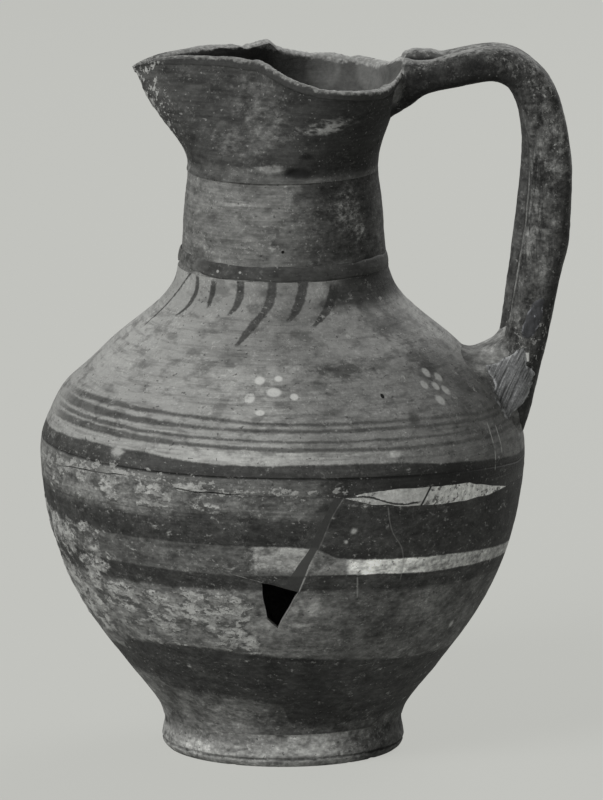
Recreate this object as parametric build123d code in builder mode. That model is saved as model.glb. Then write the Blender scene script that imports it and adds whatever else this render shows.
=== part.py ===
from build123d import *
import math
import os

# A wheel-made jug with a trefoil mouth and a high handle of two clay rolls, broken and mended.
# Millimetres. The vessel's axis is Z and the foot stands on Z = 0. The spout points to -X,
# the handle to +X, and the front with the mended breaks faces -Y.

# Foot: a low turned ring, hollow underneath, under the body's joint
body_joint_radius = 50.3
foot_height = 14.0
foot_bulge = 0.7
foot_radius = body_joint_radius + foot_bulge
foot_bulge_height = 4.0
foot_waist = 0.5
foot_waist_radius = body_joint_radius - foot_waist
foot_waist_height = 11.5
foot_seat_inset = 1.7
foot_seat_radius = body_joint_radius - foot_seat_inset
foot_seat_width = 6.5
foot_ring_thickness = 11.0

# Body: the thrown bowl and shoulder
wall = 4.5
floor_thickness = 6.5
floor_radius = 38.0
belly_radius = 101.7
belly_height = 126.0
neck_seat_radius = 44.0
neck_seat_height = 205.0

# Neck, and the clay ring over its join with the shoulder
neck_top_radius = 40.0
neck_length = 41.0
neck_top_height = neck_seat_height + neck_length
neck_ring_width = 6.0
neck_ring_proud = 1.1
neck_ring_rise = 3.2

# Mouth: two side lobes and a long spout pinched from a round rim
mouth_base_radius = 40.4
spout_reach = 62.0
lobe_half_width = 47.0
back_reach = 50.5
mouth_height = 50.5
rim_height = neck_top_height + mouth_height
rim_dip = 11.5

# Handle: two rolls side by side, from the back of the rim down to the shoulder
handle_overhang = 10.0
handle_reach = belly_radius + handle_overhang
handle_rise = 3.2
elbow_drop = 46.5
handle_elbow_height = rim_height - elbow_drop
roll_thickness = 14.4
roll_half_width = 9.0
roll_spacing = 16.4
far_roll_inset = 4.0
root_depth = 9.7
root_rise = 6.0

# Clay and plaster at the root of the handle
root_clay_width = 23.0
root_clay_half_width = 14.0
root_clay_rounding = 5.0
root_clay_slope = 11.0
root_clay_step = 0.25
patch_skin = 1.5
patch_depth = 10.5

# Allowance by which a cutting body passes the surface that it cuts
overrun = 10.0

# Outline of the body from the foot to the belly: shares of the widening and of the rise
bowl_shares = [(0.030, 0.036), (0.078, 0.072), (0.232, 0.161), (0.375, 0.246), (0.516, 0.332)]
bowl_shares += [(0.640, 0.420), (0.735, 0.503), (0.818, 0.590), (0.903, 0.705), (0.963, 0.835)]
# The same from the belly up to the seat of the neck
shoulder_shares = [(0.988, 0.104), (0.931, 0.215), (0.841, 0.340), (0.700, 0.4375), (0.527, 0.5625)]
shoulder_shares += [(0.350, 0.672), (0.210, 0.756), (0.114, 0.826), (0.052, 0.891), (0.017, 0.951)]

# Neck outline from its seat to its top: shares of the narrowing left and of the rise
neck_shares = [(0.725, 0.150), (0.525, 0.400), (0.350, 0.650), (0.120, 0.850)]

# Rim from the back of the mouth to the tip of the spout, seen from above. Each row: share of the
# reach backwards (or, if negative, of the spout's reach), share of the half width, and the turn
# from the back, as a share of a half circle, of the same clay where the mouth is still round.
rim_shares = [(1.000, 0.000, 0.000), (0.990, 0.277, 0.075), (0.950, 0.511, 0.150)]
rim_shares += [(0.851, 0.745, 0.222), (0.673, 0.926, 0.295), (0.436, 1.000, 0.370)]
rim_shares += [(0.178, 0.904, 0.445), (-0.032, 0.723, 0.520), (-0.161, 0.532, 0.600)]
rim_shares += [(-0.290, 0.372, 0.680), (-0.484, 0.277, 0.760), (-0.710, 0.191, 0.845)]
rim_shares += [(-0.903, 0.117, 0.925), (-1.000, 0.000, 1.000)]
# Rise of the mouth as a share, with the share of its opening out, and of its pinching in
mouth_shares = [(0.00, 0.00, 0.00), (0.15, 0.03, 0.02), (0.30, 0.25, 0.18), (0.45, 0.52, 0.42)]
mouth_shares += [(0.65, 0.80, 0.72), (0.85, 1.00, 0.96), (1.12, 1.17, 1.12)]
# Edge of the rim seen from the front: reach as above, and share of the dip of the side lobes
rim_edge_shares = [(-1.050, 0.780), (-1.000, 0.652), (-0.806, 0.287), (-0.645, 0.130)]
rim_edge_shares += [(-0.452, 0.000), (-0.290, 0.017), (-0.129, 0.174), (0.040, 0.522)]
rim_edge_shares += [(0.198, 0.748), (0.475, 0.913), (0.752, 1.000), (0.891, 0.948)]
rim_edge_shares += [(0.970, 0.652), (1.030, 0.304)]

# Handle rolls, section by section. Upper arm, from inside the mouth over the top to the elbow:
# share of the way out, share of the rise over the elbow, thickness share and inset share.
upper_arm_shares = [(-0.123, 0.753, 1.944, 0.00), (-0.008, 0.788, 1.528, 0.00)]
upper_arm_shares += [(0.090, 0.838, 1.130, 0.00), (0.188, 0.866, 0.960, 0.05)]
upper_arm_shares += [(0.408, 0.931, 0.951, 0.20), (0.613, 0.976, 0.986, 0.35)]
upper_arm_shares += [(0.752, 0.926, 1.056, 0.45), (0.868, 0.762, 1.125, 0.40)]
upper_arm_shares += [(0.949, 0.471, 1.180, 0.40), (0.992, 0.141, 1.222, 0.60)]
# Lower arm, from the elbow to the root: share of the way out from the root, share of the rise
lower_arm_shares = [(1.000, 0.924, 1.278, 0.80), (0.944, 0.780, 1.333, 0.85)]
lower_arm_shares += [(0.787, 0.627, 1.299, 0.75), (0.619, 0.475, 1.250, 0.60)]
lower_arm_shares += [(0.447, 0.331, 1.208, 0.40), (0.294, 0.203, 1.153, 0.30)]
lower_arm_shares += [(0.168, 0.093, 1.056, 0.20), (0.000, 0.000, 0.900, 0.00)]
# Plaster patch in the front view, placed like the lower arm
patch_shares = [(-0.365, 0.281), (0.041, 0.300), (0.168, 0.350), (0.447, 0.441), (0.553, 0.495)]
patch_shares += [(0.863, 0.519), (0.812, 0.445), (0.660, 0.372), (0.701, 0.242), (0.467, 0.141)]
patch_shares += [(0.147, 0.093), (-0.020, 0.130), (-0.193, 0.191), (-0.299, 0.260)]

# Breaks in the front view: shares of the belly's radius and height
belly_break_shares = [(-1.200, 0.992), (-0.983, 0.992), (-0.865, 1.016), (-0.639, 1.032)]
belly_break_shares += [(-0.334, 1.000), (-0.084, 1.000), (0.246, 0.989), (0.364, 0.960)]
belly_break_shares += [(0.526, 0.944), (0.659, 0.933), (0.846, 0.931), (0.919, 0.937), (1.200, 0.920)]
fill_bottom_shares = belly_break_shares[6:12]
fill_top_shares = [(0.765, 0.987), (0.604, 0.998), (0.477, 1.004), (0.347, 1.000)]
hole_top_shares = [(-0.084, 0.700), (0.010, 0.679), (0.063, 0.667)]
hole_left_shares = [(-0.019, 0.532), (-0.060, 0.565), (-0.080, 0.638)]
diagonal_break_shares = [(0.271, 1.056), (0.245, 0.989), (0.193, 0.917), (0.151, 0.832)]
diagonal_break_shares += [(0.115, 0.773), (0.083, 0.710), (0.063, 0.667)]
strip_left_shares = [(0.010, 0.679), (0.030, 0.721), (0.111, 0.819), (0.147, 0.894), (0.256, 1.056)]
upper_sherd_left_shares = [(-0.120, 1.056), (-0.120, 1.000), (-0.145, 0.720), (-0.084, 0.700)]
right_sherd_edge_shares = [(-0.019, 0.532), (0.197, 0.492), (0.393, 0.587), (0.478, 0.688)]
right_sherd_edge_shares += [(0.491, 0.772), (0.441, 0.879), (0.429, 1.056)]


def between(start, end, share):
    return start + share * (end - start)


def rotated_left(direction):
    """The direction a quarter turn to the left of a flat direction."""
    return Vector(-direction.Y, direction.X)


# Outline of the whole body, from the foot's joint to the neck's seat
body_points = [(body_joint_radius, foot_height)]
for across, up in bowl_shares:
    radius = between(body_joint_radius, belly_radius, across)
    body_points.append((radius, between(foot_height, belly_height, up)))
body_points.append((belly_radius, belly_height))
for across, up in shoulder_shares:
    radius = between(neck_seat_radius, belly_radius, across)
    body_points.append((radius, between(belly_height, neck_seat_height, up)))
body_points.append((neck_seat_radius, neck_seat_height))
with BuildLine() as body_outline:
    Spline(*body_points)
body_curve = body_outline.line

# The cavity keeps the wall's thickness from that outline, above a flat floor
floor_height = foot_height + floor_thickness
cavity_points = []
for step in range(1, 2 * len(body_points)):
    share = step / (2 * len(body_points))
    point = body_curve @ share + rotated_left(body_curve % share) * wall
    if point.Y > floor_height + floor_thickness / 2:
        cavity_points.append((point.X, point.Y))
cavity_points.append((neck_seat_radius - wall, neck_seat_height))

# The body as a filled form: what is luted on from outside ends at its surface
with BuildPart() as body_form:
    with BuildSketch(Plane.XZ):
        with BuildLine():
            Spline(*body_points)
            Polyline(body_points[-1], (0, neck_seat_height), (0, foot_height), body_points[0])
        make_face()
    revolve(axis=Axis.Z)

# The cavity inside it
with BuildPart() as body_cavity:
    with BuildSketch(Plane.XZ):
        with BuildLine():
            Spline((floor_radius, floor_height), *cavity_points)
            Polyline(
                cavity_points[-1],
                (cavity_points[-1][0], neck_seat_height + overrun),
                (0, neck_seat_height + overrun),
                (0, floor_height),
                (floor_radius, floor_height),
            )
        make_face()
    revolve(axis=Axis.Z)


def on_belly(shares):
    """Places in the front view, given as shares of the belly's radius and height."""
    return [(across * belly_radius, up * belly_height) for across, up in shares]


def front_block(outline):
    """A block with this outline in the front view, from the axis out through the front wall."""
    with BuildPart() as block:
        with BuildSketch(Plane.XZ):
            with BuildLine():
                Polyline(*outline, close=True)
            make_face()
        extrude(amount=belly_radius + overrun)
    return block.part


# Everything below the break that runs around the belly
belly_break = on_belly(belly_break_shares)
with BuildPart() as below_break:
    with BuildSketch(Plane.XZ):
        with BuildLine():
            Polyline(*belly_break, (belly_break[-1][0], 0), (belly_break[0][0], 0), close=True)
        make_face()
    extrude(amount=belly_radius + overrun, both=True)

crack_fill_block = front_block(on_belly(fill_bottom_shares + fill_top_shares))
hole_block = front_block(on_belly(hole_top_shares + hole_left_shares))
strip_block = front_block(on_belly(diagonal_break_shares + strip_left_shares))
upper_sherd_outline = upper_sherd_left_shares + strip_left_shares
upper_sherd_block = front_block(on_belly(upper_sherd_outline))
right_sherd_outline = diagonal_break_shares + right_sherd_edge_shares
right_sherd_block = front_block(on_belly(right_sherd_outline))

# Foot
with BuildPart() as foot:
    with BuildSketch(Plane.XZ):
        with BuildLine():
            Spline(
                (foot_seat_radius, 0),
                (foot_radius, foot_bulge_height),
                (foot_waist_radius, foot_waist_height),
                (body_joint_radius, foot_height),
            )
            Polyline(
                (body_joint_radius, foot_height),
                (body_joint_radius - foot_ring_thickness, foot_height),
                (foot_seat_radius - foot_seat_width, 0),
                (foot_seat_radius, 0),
            )
        make_face()
    revolve(axis=Axis.Z)

# Lower body: bowl with the floor, without the sherds and the hole in its front
with BuildPart() as lower_body:
    add(body_form.part)
    add(body_cavity.part, mode=Mode.SUBTRACT)
    add(below_break.part, mode=Mode.INTERSECT)
    add(hole_block, mode=Mode.SUBTRACT)
    add(strip_block, mode=Mode.SUBTRACT)
    add(upper_sherd_block, mode=Mode.SUBTRACT)
    add(right_sherd_block, mode=Mode.SUBTRACT)

# Upper body: the shoulder, above the break and the filling in it
with BuildPart() as upper_body:
    add(body_form.part)
    add(body_cavity.part, mode=Mode.SUBTRACT)
    add(below_break.part, mode=Mode.SUBTRACT)
    add(crack_fill_block, mode=Mode.SUBTRACT)

# Sherd above the hole
with BuildPart() as belly_sherd_upper:
    add(body_form.part)
    add(body_cavity.part, mode=Mode.SUBTRACT)
    add(below_break.part, mode=Mode.INTERSECT)
    add(upper_sherd_block, mode=Mode.INTERSECT)
    add(hole_block, mode=Mode.SUBTRACT)

# Sherd to the right of the diagonal break
with BuildPart() as belly_sherd_right:
    add(body_form.part)
    add(body_cavity.part, mode=Mode.SUBTRACT)
    add(below_break.part, mode=Mode.INTERSECT)
    add(right_sherd_block, mode=Mode.INTERSECT)
    add(hole_block, mode=Mode.SUBTRACT)

# Toned filling between these two sherds
with BuildPart() as belly_fill_strip:
    add(body_form.part)
    add(body_cavity.part, mode=Mode.SUBTRACT)
    add(below_break.part, mode=Mode.INTERSECT)
    add(strip_block, mode=Mode.INTERSECT)
    add(hole_block, mode=Mode.SUBTRACT)

# Pale filling in the gap at the right of the belly break
with BuildPart() as belly_crack_fill:
    add(body_form.part)
    add(body_cavity.part, mode=Mode.SUBTRACT)
    add(crack_fill_block, mode=Mode.INTERSECT)

# Neck
neck_points = [(neck_seat_radius, neck_seat_height)]
for across, up in neck_shares:
    radius = between(neck_top_radius, neck_seat_radius, across)
    neck_points.append((radius, between(neck_seat_height, neck_top_height, up)))
neck_points.append((neck_top_radius, neck_top_height))
bore_points = [(radius - wall, height) for radius, height in reversed(neck_points)]
with BuildPart() as neck:
    with BuildSketch(Plane.XZ):
        with BuildLine():
            Spline(*neck_points)
            Line(neck_points[-1], bore_points[0])
            Spline(*bore_points)
            Line(bore_points[-1], neck_points[0])
        make_face()
    revolve(axis=Axis.Z)

# Clay ring around the foot of the neck: a low round swelling, proud of the slanting neck and cut to it
ring_middle = neck_seat_height + neck_ring_rise
ring_outer_radius = between(neck_points[0][0], neck_points[1][0], 1 / 2) + neck_ring_proud
ring_radius = ring_outer_radius - (wall + neck_ring_proud) / 2
with BuildPart() as neck_ring:
    with BuildSketch(Plane.XZ):
        with BuildLine():
            ThreePointArc(
                (ring_radius, ring_middle - neck_ring_width / 2),
                (ring_outer_radius, ring_middle),
                (ring_radius, ring_middle + neck_ring_width / 2),
            )
            Line(
                (ring_radius, ring_middle + neck_ring_width / 2),
                (ring_radius, ring_middle - neck_ring_width / 2),
            )
        make_face()
    revolve(axis=Axis.Z)
    add(neck.part, mode=Mode.SUBTRACT)


def half_mouth(opening, pinching):
    """Half of the mouth's outline, from the back to the tip of the spout, at one height."""
    points = []
    for reach, breadth, turn in rim_shares:
        round_x = mouth_base_radius * math.cos(math.pi * turn)
        round_y = mouth_base_radius * math.sin(math.pi * turn)
        rim_x = reach * (back_reach if reach > 0 else spout_reach)
        rim_y = breadth * lobe_half_width
        sideways = opening if rim_y > round_y else pinching
        points.append((between(round_x, rim_x, opening), between(round_y, rim_y, sideways)))
    return points


def mouth_section(opening, pinching, inset):
    """The closed outline at one height, moved inwards by the inset."""
    half = half_mouth(opening, pinching)
    whole = half + [(across, -along) for across, along in reversed(half[1:-1])]
    moved = []
    for place, (across, along) in enumerate(whole):
        before = Vector(*whole[place - 1])
        after = Vector(*whole[(place + 1) % len(whole)])
        inwards = rotated_left((after - before).normalized())
        moved.append((across + inset * inwards.X, along + inset * inwards.Y))
    return moved


def mouth_form(inset, spare):
    """The mouth as a filled form, with spare height at both ends."""
    with BuildPart() as form:
        for up, opening, pinching in mouth_shares:
            height = between(neck_top_height, rim_height, up)
            if up == mouth_shares[0][0]:
                height -= spare
            with BuildSketch(Plane.XY.offset(height)):
                with BuildLine():
                    Spline(*mouth_section(opening, pinching, inset), periodic=True)
                make_face()
        loft()
    return form.part


mouth_outside = mouth_form(0, 0)
mouth_inside = mouth_form(wall, wall / 2)

# Everything above the edge of the rim
rim_edge = []
for reach, dip in rim_edge_shares:
    rim_edge.append((reach * (back_reach if reach > 0 else spout_reach), rim_height - dip * rim_dip))
above_rim = rim_height + (mouth_shares[-1][0] * (rim_height - neck_top_height))
with BuildPart() as over_rim:
    with BuildSketch(Plane.XZ):
        with BuildLine():
            Spline(*rim_edge)
            Polyline(
                rim_edge[-1],
                (2 * back_reach, rim_edge[-1][1]),
                (2 * back_reach, above_rim),
                (-2 * spout_reach, above_rim),
                (-2 * spout_reach, rim_edge[0][1]),
                rim_edge[0],
            )
        make_face()
    extrude(amount=2 * lobe_half_width, both=True)

# Mouth
with BuildPart() as mouth:
    add(mouth_outside)
    add(mouth_inside, mode=Mode.SUBTRACT)
    add(over_rim.part, mode=Mode.SUBTRACT)

# Middle line of the rolls, with their thickness and the far roll's inset at each section
crest_height = rim_height + handle_rise - roll_thickness / 2
root_radius = belly_radius - root_depth
root_height = belly_height + root_rise


def on_lower_arm(outwards, up):
    """A place beside the lower arm: share of the way out from the root, and of the rise."""
    return between(root_radius, handle_reach, outwards), between(root_height, handle_elbow_height, up)


roll_stations = []
for outwards, up, thickness, inset in upper_arm_shares:
    across = between(back_reach, handle_reach, outwards)
    height = between(handle_elbow_height, crest_height, up)
    roll_stations.append((Vector(across, height), thickness * roll_thickness, inset))
for outwards, up, thickness, inset in lower_arm_shares:
    place = Vector(*on_lower_arm(outwards, up))
    roll_stations.append((place, thickness * roll_thickness, inset))


def roll_form(side, inset_size):
    """One clay roll; side is -1 for the near roll and 1 for the far one."""
    with BuildPart() as form:
        for number, (place, thickness, inset) in enumerate(roll_stations):
            before = roll_stations[max(number - 1, 0)][0]
            after = roll_stations[min(number + 1, len(roll_stations) - 1)][0]
            along = (after - before).normalized()
            outwards = rotated_left(along)
            middle = place - outwards * inset * inset_size
            section = Plane(
                origin=(middle.X, side * roll_spacing / 2, middle.Y),
                x_dir=(outwards.X, 0, outwards.Y),
                z_dir=(along.X, 0, along.Y),
            )
            with BuildSketch(section):
                Ellipse(thickness / 2, roll_half_width)
        loft()
        split(bisect_by=Plane.XZ, keep=Keep.TOP if side < 0 else Keep.BOTTOM)
        add(mouth_outside, mode=Mode.SUBTRACT)
        add(body_form.part, mode=Mode.SUBTRACT)
    return form.part


# Near and far rolls of the handle
with BuildPart() as handle_roll_near:
    add(roll_form(-1, 0))

with BuildPart() as handle_roll_far:
    add(roll_form(1, far_roll_inset))


def reach_at(height, places):
    """How far out a line through these places (across, up) lies at this height."""
    for (low_across, low_up), (high_across, high_up) in zip(places, places[1:]):
        if low_up <= height <= high_up:
            return between(low_across, high_across, (height - low_up) / (high_up - low_up))
    return places[-1][0]


# Lump of clay in the angle between the shoulder and the rolls, up to where that gap is too wide
arm_places = [on_lower_arm(outwards, up) for outwards, up, thickness, inset in reversed(lower_arm_shares)]
clay_foot = arm_places[1]
clay_top = clay_foot[1]
gap_width = 0
while gap_width < root_clay_width:
    clay_top += root_clay_step
    gap_width = reach_at(clay_top, arm_places) - roll_thickness / 2 - reach_at(clay_top, body_points)
clay_outer = reach_at(clay_top, arm_places)
clay_inner = clay_outer - roll_thickness / 2 - root_clay_width - root_clay_rounding
with BuildPart() as handle_root_clay:
    with BuildSketch(Plane.XZ):
        with BuildLine():
            Polyline(
                (clay_inner, clay_top - root_clay_slope),
                (clay_outer, clay_top + root_clay_slope / 2),
                clay_foot,
                (clay_inner, clay_foot[1]),
                close=True,
            )
        make_face()
    extrude(amount=root_clay_half_width, both=True)
    top_face = handle_root_clay.faces().sort_by(Axis.Z)[-1]
    fillet(top_face.edges().filter_by(Axis.Y, reverse=True), radius=root_clay_rounding)
    add(body_form.part, mode=Mode.SUBTRACT)
    add(handle_roll_near.part, mode=Mode.SUBTRACT)
    add(handle_roll_far.part, mode=Mode.SUBTRACT)

# Rough plaster over the near side of the root
patch_outline = [on_lower_arm(outwards, up) for outwards, up in patch_shares]
patch_face = roll_spacing / 2 + roll_half_width + patch_skin
with BuildPart() as handle_plaster_patch:
    with BuildSketch(Plane.XZ.offset(patch_face - patch_depth)):
        with BuildLine():
            Polyline(*patch_outline, close=True)
        make_face()
    extrude(amount=patch_depth)
    add(body_form.part, mode=Mode.SUBTRACT)
    add(handle_roll_near.part, mode=Mode.SUBTRACT)
    add(handle_root_clay.part, mode=Mode.SUBTRACT)

# One file for each piece
os.makedirs("parts", exist_ok=True)

foot.part.label = "foot"
export_step(foot.part, "parts/foot.step")

lower_body.part.label = "lower_body"
export_step(lower_body.part, "parts/lower_body.step")

upper_body.part.label = "upper_body"
export_step(upper_body.part, "parts/upper_body.step")

belly_sherd_upper.part.label = "belly_sherd_upper"
export_step(belly_sherd_upper.part, "parts/belly_sherd_upper.step")

belly_sherd_right.part.label = "belly_sherd_right"
export_step(belly_sherd_right.part, "parts/belly_sherd_right.step")

belly_fill_strip.part.label = "belly_fill_strip"
export_step(belly_fill_strip.part, "parts/belly_fill_strip.step")

belly_crack_fill.part.label = "belly_crack_fill"
export_step(belly_crack_fill.part, "parts/belly_crack_fill.step")

neck.part.label = "neck"
export_step(neck.part, "parts/neck.step")

neck_ring.part.label = "neck_ring"
export_step(neck_ring.part, "parts/neck_ring.step")

mouth.part.label = "mouth"
export_step(mouth.part, "parts/mouth.step")

handle_roll_near.part.label = "handle_roll_near"
export_step(handle_roll_near.part, "parts/handle_roll_near.step")

handle_roll_far.part.label = "handle_roll_far"
export_step(handle_roll_far.part, "parts/handle_roll_far.step")

handle_root_clay.part.label = "handle_root_clay"
export_step(handle_root_clay.part, "parts/handle_root_clay.step")

handle_plaster_patch.part.label = "handle_plaster_patch"
export_step(handle_plaster_patch.part, "parts/handle_plaster_patch.step")
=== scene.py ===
import math

import bpy
import numpy as np
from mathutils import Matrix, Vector
from mathutils.bvhtree import BVHTree


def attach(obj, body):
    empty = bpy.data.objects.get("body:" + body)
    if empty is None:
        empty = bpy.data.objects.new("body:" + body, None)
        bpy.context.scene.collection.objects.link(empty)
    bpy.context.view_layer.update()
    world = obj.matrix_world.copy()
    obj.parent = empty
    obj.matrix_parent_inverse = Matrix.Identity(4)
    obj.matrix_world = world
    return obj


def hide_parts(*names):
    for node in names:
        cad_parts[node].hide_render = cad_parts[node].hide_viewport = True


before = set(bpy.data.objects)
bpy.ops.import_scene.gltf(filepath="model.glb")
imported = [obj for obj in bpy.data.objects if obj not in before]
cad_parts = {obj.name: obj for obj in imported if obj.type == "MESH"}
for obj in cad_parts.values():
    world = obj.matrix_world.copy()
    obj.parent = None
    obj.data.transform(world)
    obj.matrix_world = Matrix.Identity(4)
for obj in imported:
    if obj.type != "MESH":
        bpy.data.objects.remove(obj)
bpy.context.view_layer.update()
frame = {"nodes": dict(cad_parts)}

# A wheel-made jug with a trefoil mouth and a high handle of two clay rolls, broken and mended.
# Meshes are worked out in millimetres on the frame's own surfaces and written in metres.
# The front faces -Y, the spout -X and the handle +X. An azimuth is in degrees from the front
# towards the handle.
MM = 0.001

# Body, in the frame's heights
foot_top = 14.0
seat_height = 205.0
neck_top = 246.0
wall = 4.5
floor_thickness = 6.5
belly_radius = 101.7
belly_height = 126.0

# Share of the belly's radius and height, in the front view, of each break
belly_break_shares = [(-1.200, 0.992), (-0.983, 0.992), (-0.865, 1.016), (-0.639, 1.032)]
belly_break_shares += [(-0.334, 1.000), (-0.084, 1.000), (0.246, 0.989), (0.364, 0.960)]
belly_break_shares += [(0.526, 0.944), (0.659, 0.933), (0.846, 0.931), (0.919, 0.937), (1.200, 0.920)]
fill_bottom_shares = belly_break_shares[6:12]
fill_top_shares = [(0.765, 0.987), (0.604, 0.998), (0.477, 1.004), (0.347, 1.000)]
hole_top_shares = [(-0.084, 0.700), (0.010, 0.679), (0.063, 0.667)]
hole_left_shares = [(-0.019, 0.532), (-0.060, 0.565), (-0.080, 0.638)]
diagonal_break_shares = [(0.271, 1.056), (0.245, 0.989), (0.193, 0.917), (0.151, 0.832)]
diagonal_break_shares += [(0.115, 0.773), (0.083, 0.710), (0.063, 0.667)]
strip_left_shares = [(0.010, 0.679), (0.030, 0.721), (0.111, 0.819), (0.147, 0.894), (0.256, 1.056)]
upper_sherd_left_shares = [(-0.120, 1.056), (-0.120, 1.000), (-0.145, 0.720), (-0.084, 0.700)]
right_sherd_edge_shares = [(-0.019, 0.532), (0.197, 0.492), (0.393, 0.587), (0.478, 0.688)]
right_sherd_edge_shares += [(0.491, 0.772), (0.441, 0.879), (0.429, 1.056)]


# Noise

def lattice(cells, seed):
    """A steady number from -1 to 1 for each whole-numbered cell."""
    mixed = (cells[..., 0] * 73856093) ^ (cells[..., 1] * 19349663) ^ (cells[..., 2] * 83492791)
    mixed = (mixed ^ (seed * 26544357)) & 0x7FFFFFFF
    mixed = ((mixed ^ (mixed >> 13)) * 1274126177) & 0x7FFFFFFF
    return ((mixed ^ (mixed >> 16)) & 0xFFFF) / 32767.5 - 1


def grain(points, size, seed, octaves=3):
    """Smooth noise from about -1 to 1 at these points, with features of this size."""
    size = np.asarray(size, float)
    total = np.zeros(points.shape[:-1])
    strength = 1.0
    weight = 0.0
    for octave in range(octaves):
        place = points / size
        cell = np.floor(place).astype(np.int64)
        share = place - cell
        share = share * share * (3 - 2 * share)
        level = np.zeros(points.shape[:-1])
        for corner in np.ndindex(2, 2, 2):
            reach = np.where(corner, share, 1 - share).prod(axis=-1)
            level += reach * lattice(cell + np.array(corner), seed + octave)
        total += strength * level
        weight += strength
        strength /= 2
        size = size / 2
    return total / weight


def step_up(low, high, value):
    """0 below low, 1 above high, and smooth between them."""
    share = np.clip((value - low) / (high - low), 0, 1)
    return share * share * (3 - 2 * share)


# Meshes

def placed(name, data):
    """A new object with this data, in the scene."""
    piece = bpy.data.objects.new(name, data)
    bpy.context.scene.collection.objects.link(piece)
    return piece


def mesh_object(name, points, faces):
    """A piece from points in millimetres."""
    mesh = bpy.data.meshes.new(name)
    mesh.from_pydata((np.asarray(points) * MM).tolist(), [], faces)
    mesh.validate()
    return placed(name, mesh)


def ring_faces(rows, around, closed):
    """Quads between rows of points that go around; closed joins the last row to the first."""
    row, column = np.meshgrid(np.arange(rows if closed else rows - 1), np.arange(around), indexing="ij")
    after = (column + 1) % around
    above = (row + 1) % rows
    quads = [row * around + column, row * around + after, above * around + after, above * around + column]
    return np.stack(quads, axis=-1).reshape(-1, 4).tolist()


def ring_solid(name, rows):
    """A closed ring of clay from rows of points (rows, around, 3), outside first, then inside."""
    rows = np.asarray(rows)
    return mesh_object(name, rows.reshape(-1, 3), ring_faces(rows.shape[0], rows.shape[1], True))


def capped_solid(name, rows):
    """A closed form from rows of points that start and end at a pole."""
    rows = np.asarray(rows)
    count, around = rows.shape[:2]
    points = rows.reshape(-1, 3).tolist()
    faces = ring_faces(count, around, False)
    for row, turn in ((0, -1), (count - 1, 1)):
        pole = len(points)
        points.append(rows[row].mean(axis=0).tolist())
        for column in range(around):
            pair = [row * around + column, row * around + (column + 1) % around]
            faces.append(pair[::turn] + [pole])
    return mesh_object(name, points, faces)


def around_axis(radius, height, azimuths):
    """Points at this radius and height for each azimuth in degrees."""
    angle = np.radians(azimuths)
    radius = np.broadcast_to(radius, angle.shape)
    height = np.broadcast_to(height, angle.shape)
    return np.stack([radius * np.sin(angle), -radius * np.cos(angle), height], axis=-1)


def vectors_of(items, name):
    """A vector of each point or face of a mesh, as rows of three numbers."""
    flat = np.empty(len(items) * 3, np.float32)
    items.foreach_get(name, flat)
    return flat.reshape(-1, 3)


def places_of(piece):
    """The piece's points in millimetres."""
    return vectors_of(piece.data.vertices, "co").astype(float) / MM


def place_points(piece, points):
    piece.data.vertices.foreach_set("co", (points * MM).astype(np.float32).ravel())
    piece.data.update()


def normals_of(piece):
    return vectors_of(piece.data.vertex_normals, "vector").astype(float)


def keep_number(piece, name, values):
    """Keeps a number for each point of the mesh, for its material to read."""
    kept = piece.data.attributes.new(name, "FLOAT", "POINT")
    kept.data.foreach_set("value", values.astype(np.float32))


def with_modifier(piece, kind, **settings):
    """Applies one modifier to the piece's mesh."""
    modifier = piece.modifiers.new("step", kind)
    for name, value in settings.items():
        setattr(modifier, name, value)
    graph = bpy.context.evaluated_depsgraph_get()
    graph.update()
    mesh = bpy.data.meshes.new_from_object(piece.evaluated_get(graph))
    piece.modifiers.remove(modifier)
    old = piece.data
    piece.data = mesh
    mesh.name = piece.name
    bpy.data.meshes.remove(old)
    return piece


def copy_of(piece, name):
    return placed(name, piece.data.copy())


def cut(piece, cutter, operation):
    return with_modifier(piece, "BOOLEAN", operation=operation, solver="MANIFOLD", object=cutter)


def remeshed(piece, detail):
    """The piece with even small faces of this size in millimetres."""
    return with_modifier(piece, "REMESH", mode="VOXEL", voxel_size=detail * MM)


# The frame's surfaces, read with rays

nodes = frame["nodes"]
past_jug = 200.0


def shape_of(pieces):
    """Points in millimetres and faces of these pieces together."""
    points = []
    faces = []
    for piece in pieces:
        start = len(points)
        points += [vertex.co / MM for vertex in piece.data.vertices]
        faces += [[start + corner for corner in face.vertices] for face in piece.data.polygons]
    return points, faces


def ray_tree(*pieces):
    return BVHTree.FromPolygons(*shape_of(pieces))


def way_at(azimuth):
    """The level direction away from the axis at this azimuth."""
    angle = math.radians(azimuth)
    return Vector((math.sin(angle), -math.cos(angle), 0))


def outer_radius(tree, azimuth, height):
    """How far from the axis the outside lies at this azimuth and height, or 0 where there is none."""
    way = way_at(azimuth)
    hit = tree.ray_cast(way * past_jug + Vector((0, 0, height)), -way, 2 * past_jug)[0]
    return max(hit.xy.dot(way.xy), 0.0) if hit else 0.0


def inner_radius(tree, azimuth, height):
    """How far from the axis the inside lies at this azimuth and height, or 0 where there is none."""
    hit = tree.ray_cast(Vector((0, 0, height)), way_at(azimuth), past_jug)[0]
    return hit.xy.length if hit else 0.0


# Body: one thrown shell with its wheel marks, cut into the pieces that it broke into
body_around = 512
back_azimuth = 180.0
body_tree = ray_tree(nodes["lower_body"], nodes["upper_body"])
azimuths = np.arange(body_around) * 360 / body_around
# The wheel marks die out over this height towards the body's two ends
calm_reach = 4.0


def profile_of(tree, low, high, count):
    """Radius and height up the outside of the frame, evenly spaced along it."""
    heights = np.linspace(low, high, 4 * count)
    radii = np.array([outer_radius(tree, back_azimuth, height) for height in heights])
    length = np.concatenate([[0], np.cumsum(np.hypot(np.diff(radii), np.diff(heights)))])
    even = np.linspace(0, length[-1], count)
    return np.interp(even, length, radii), np.interp(even, length, heights)


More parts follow.
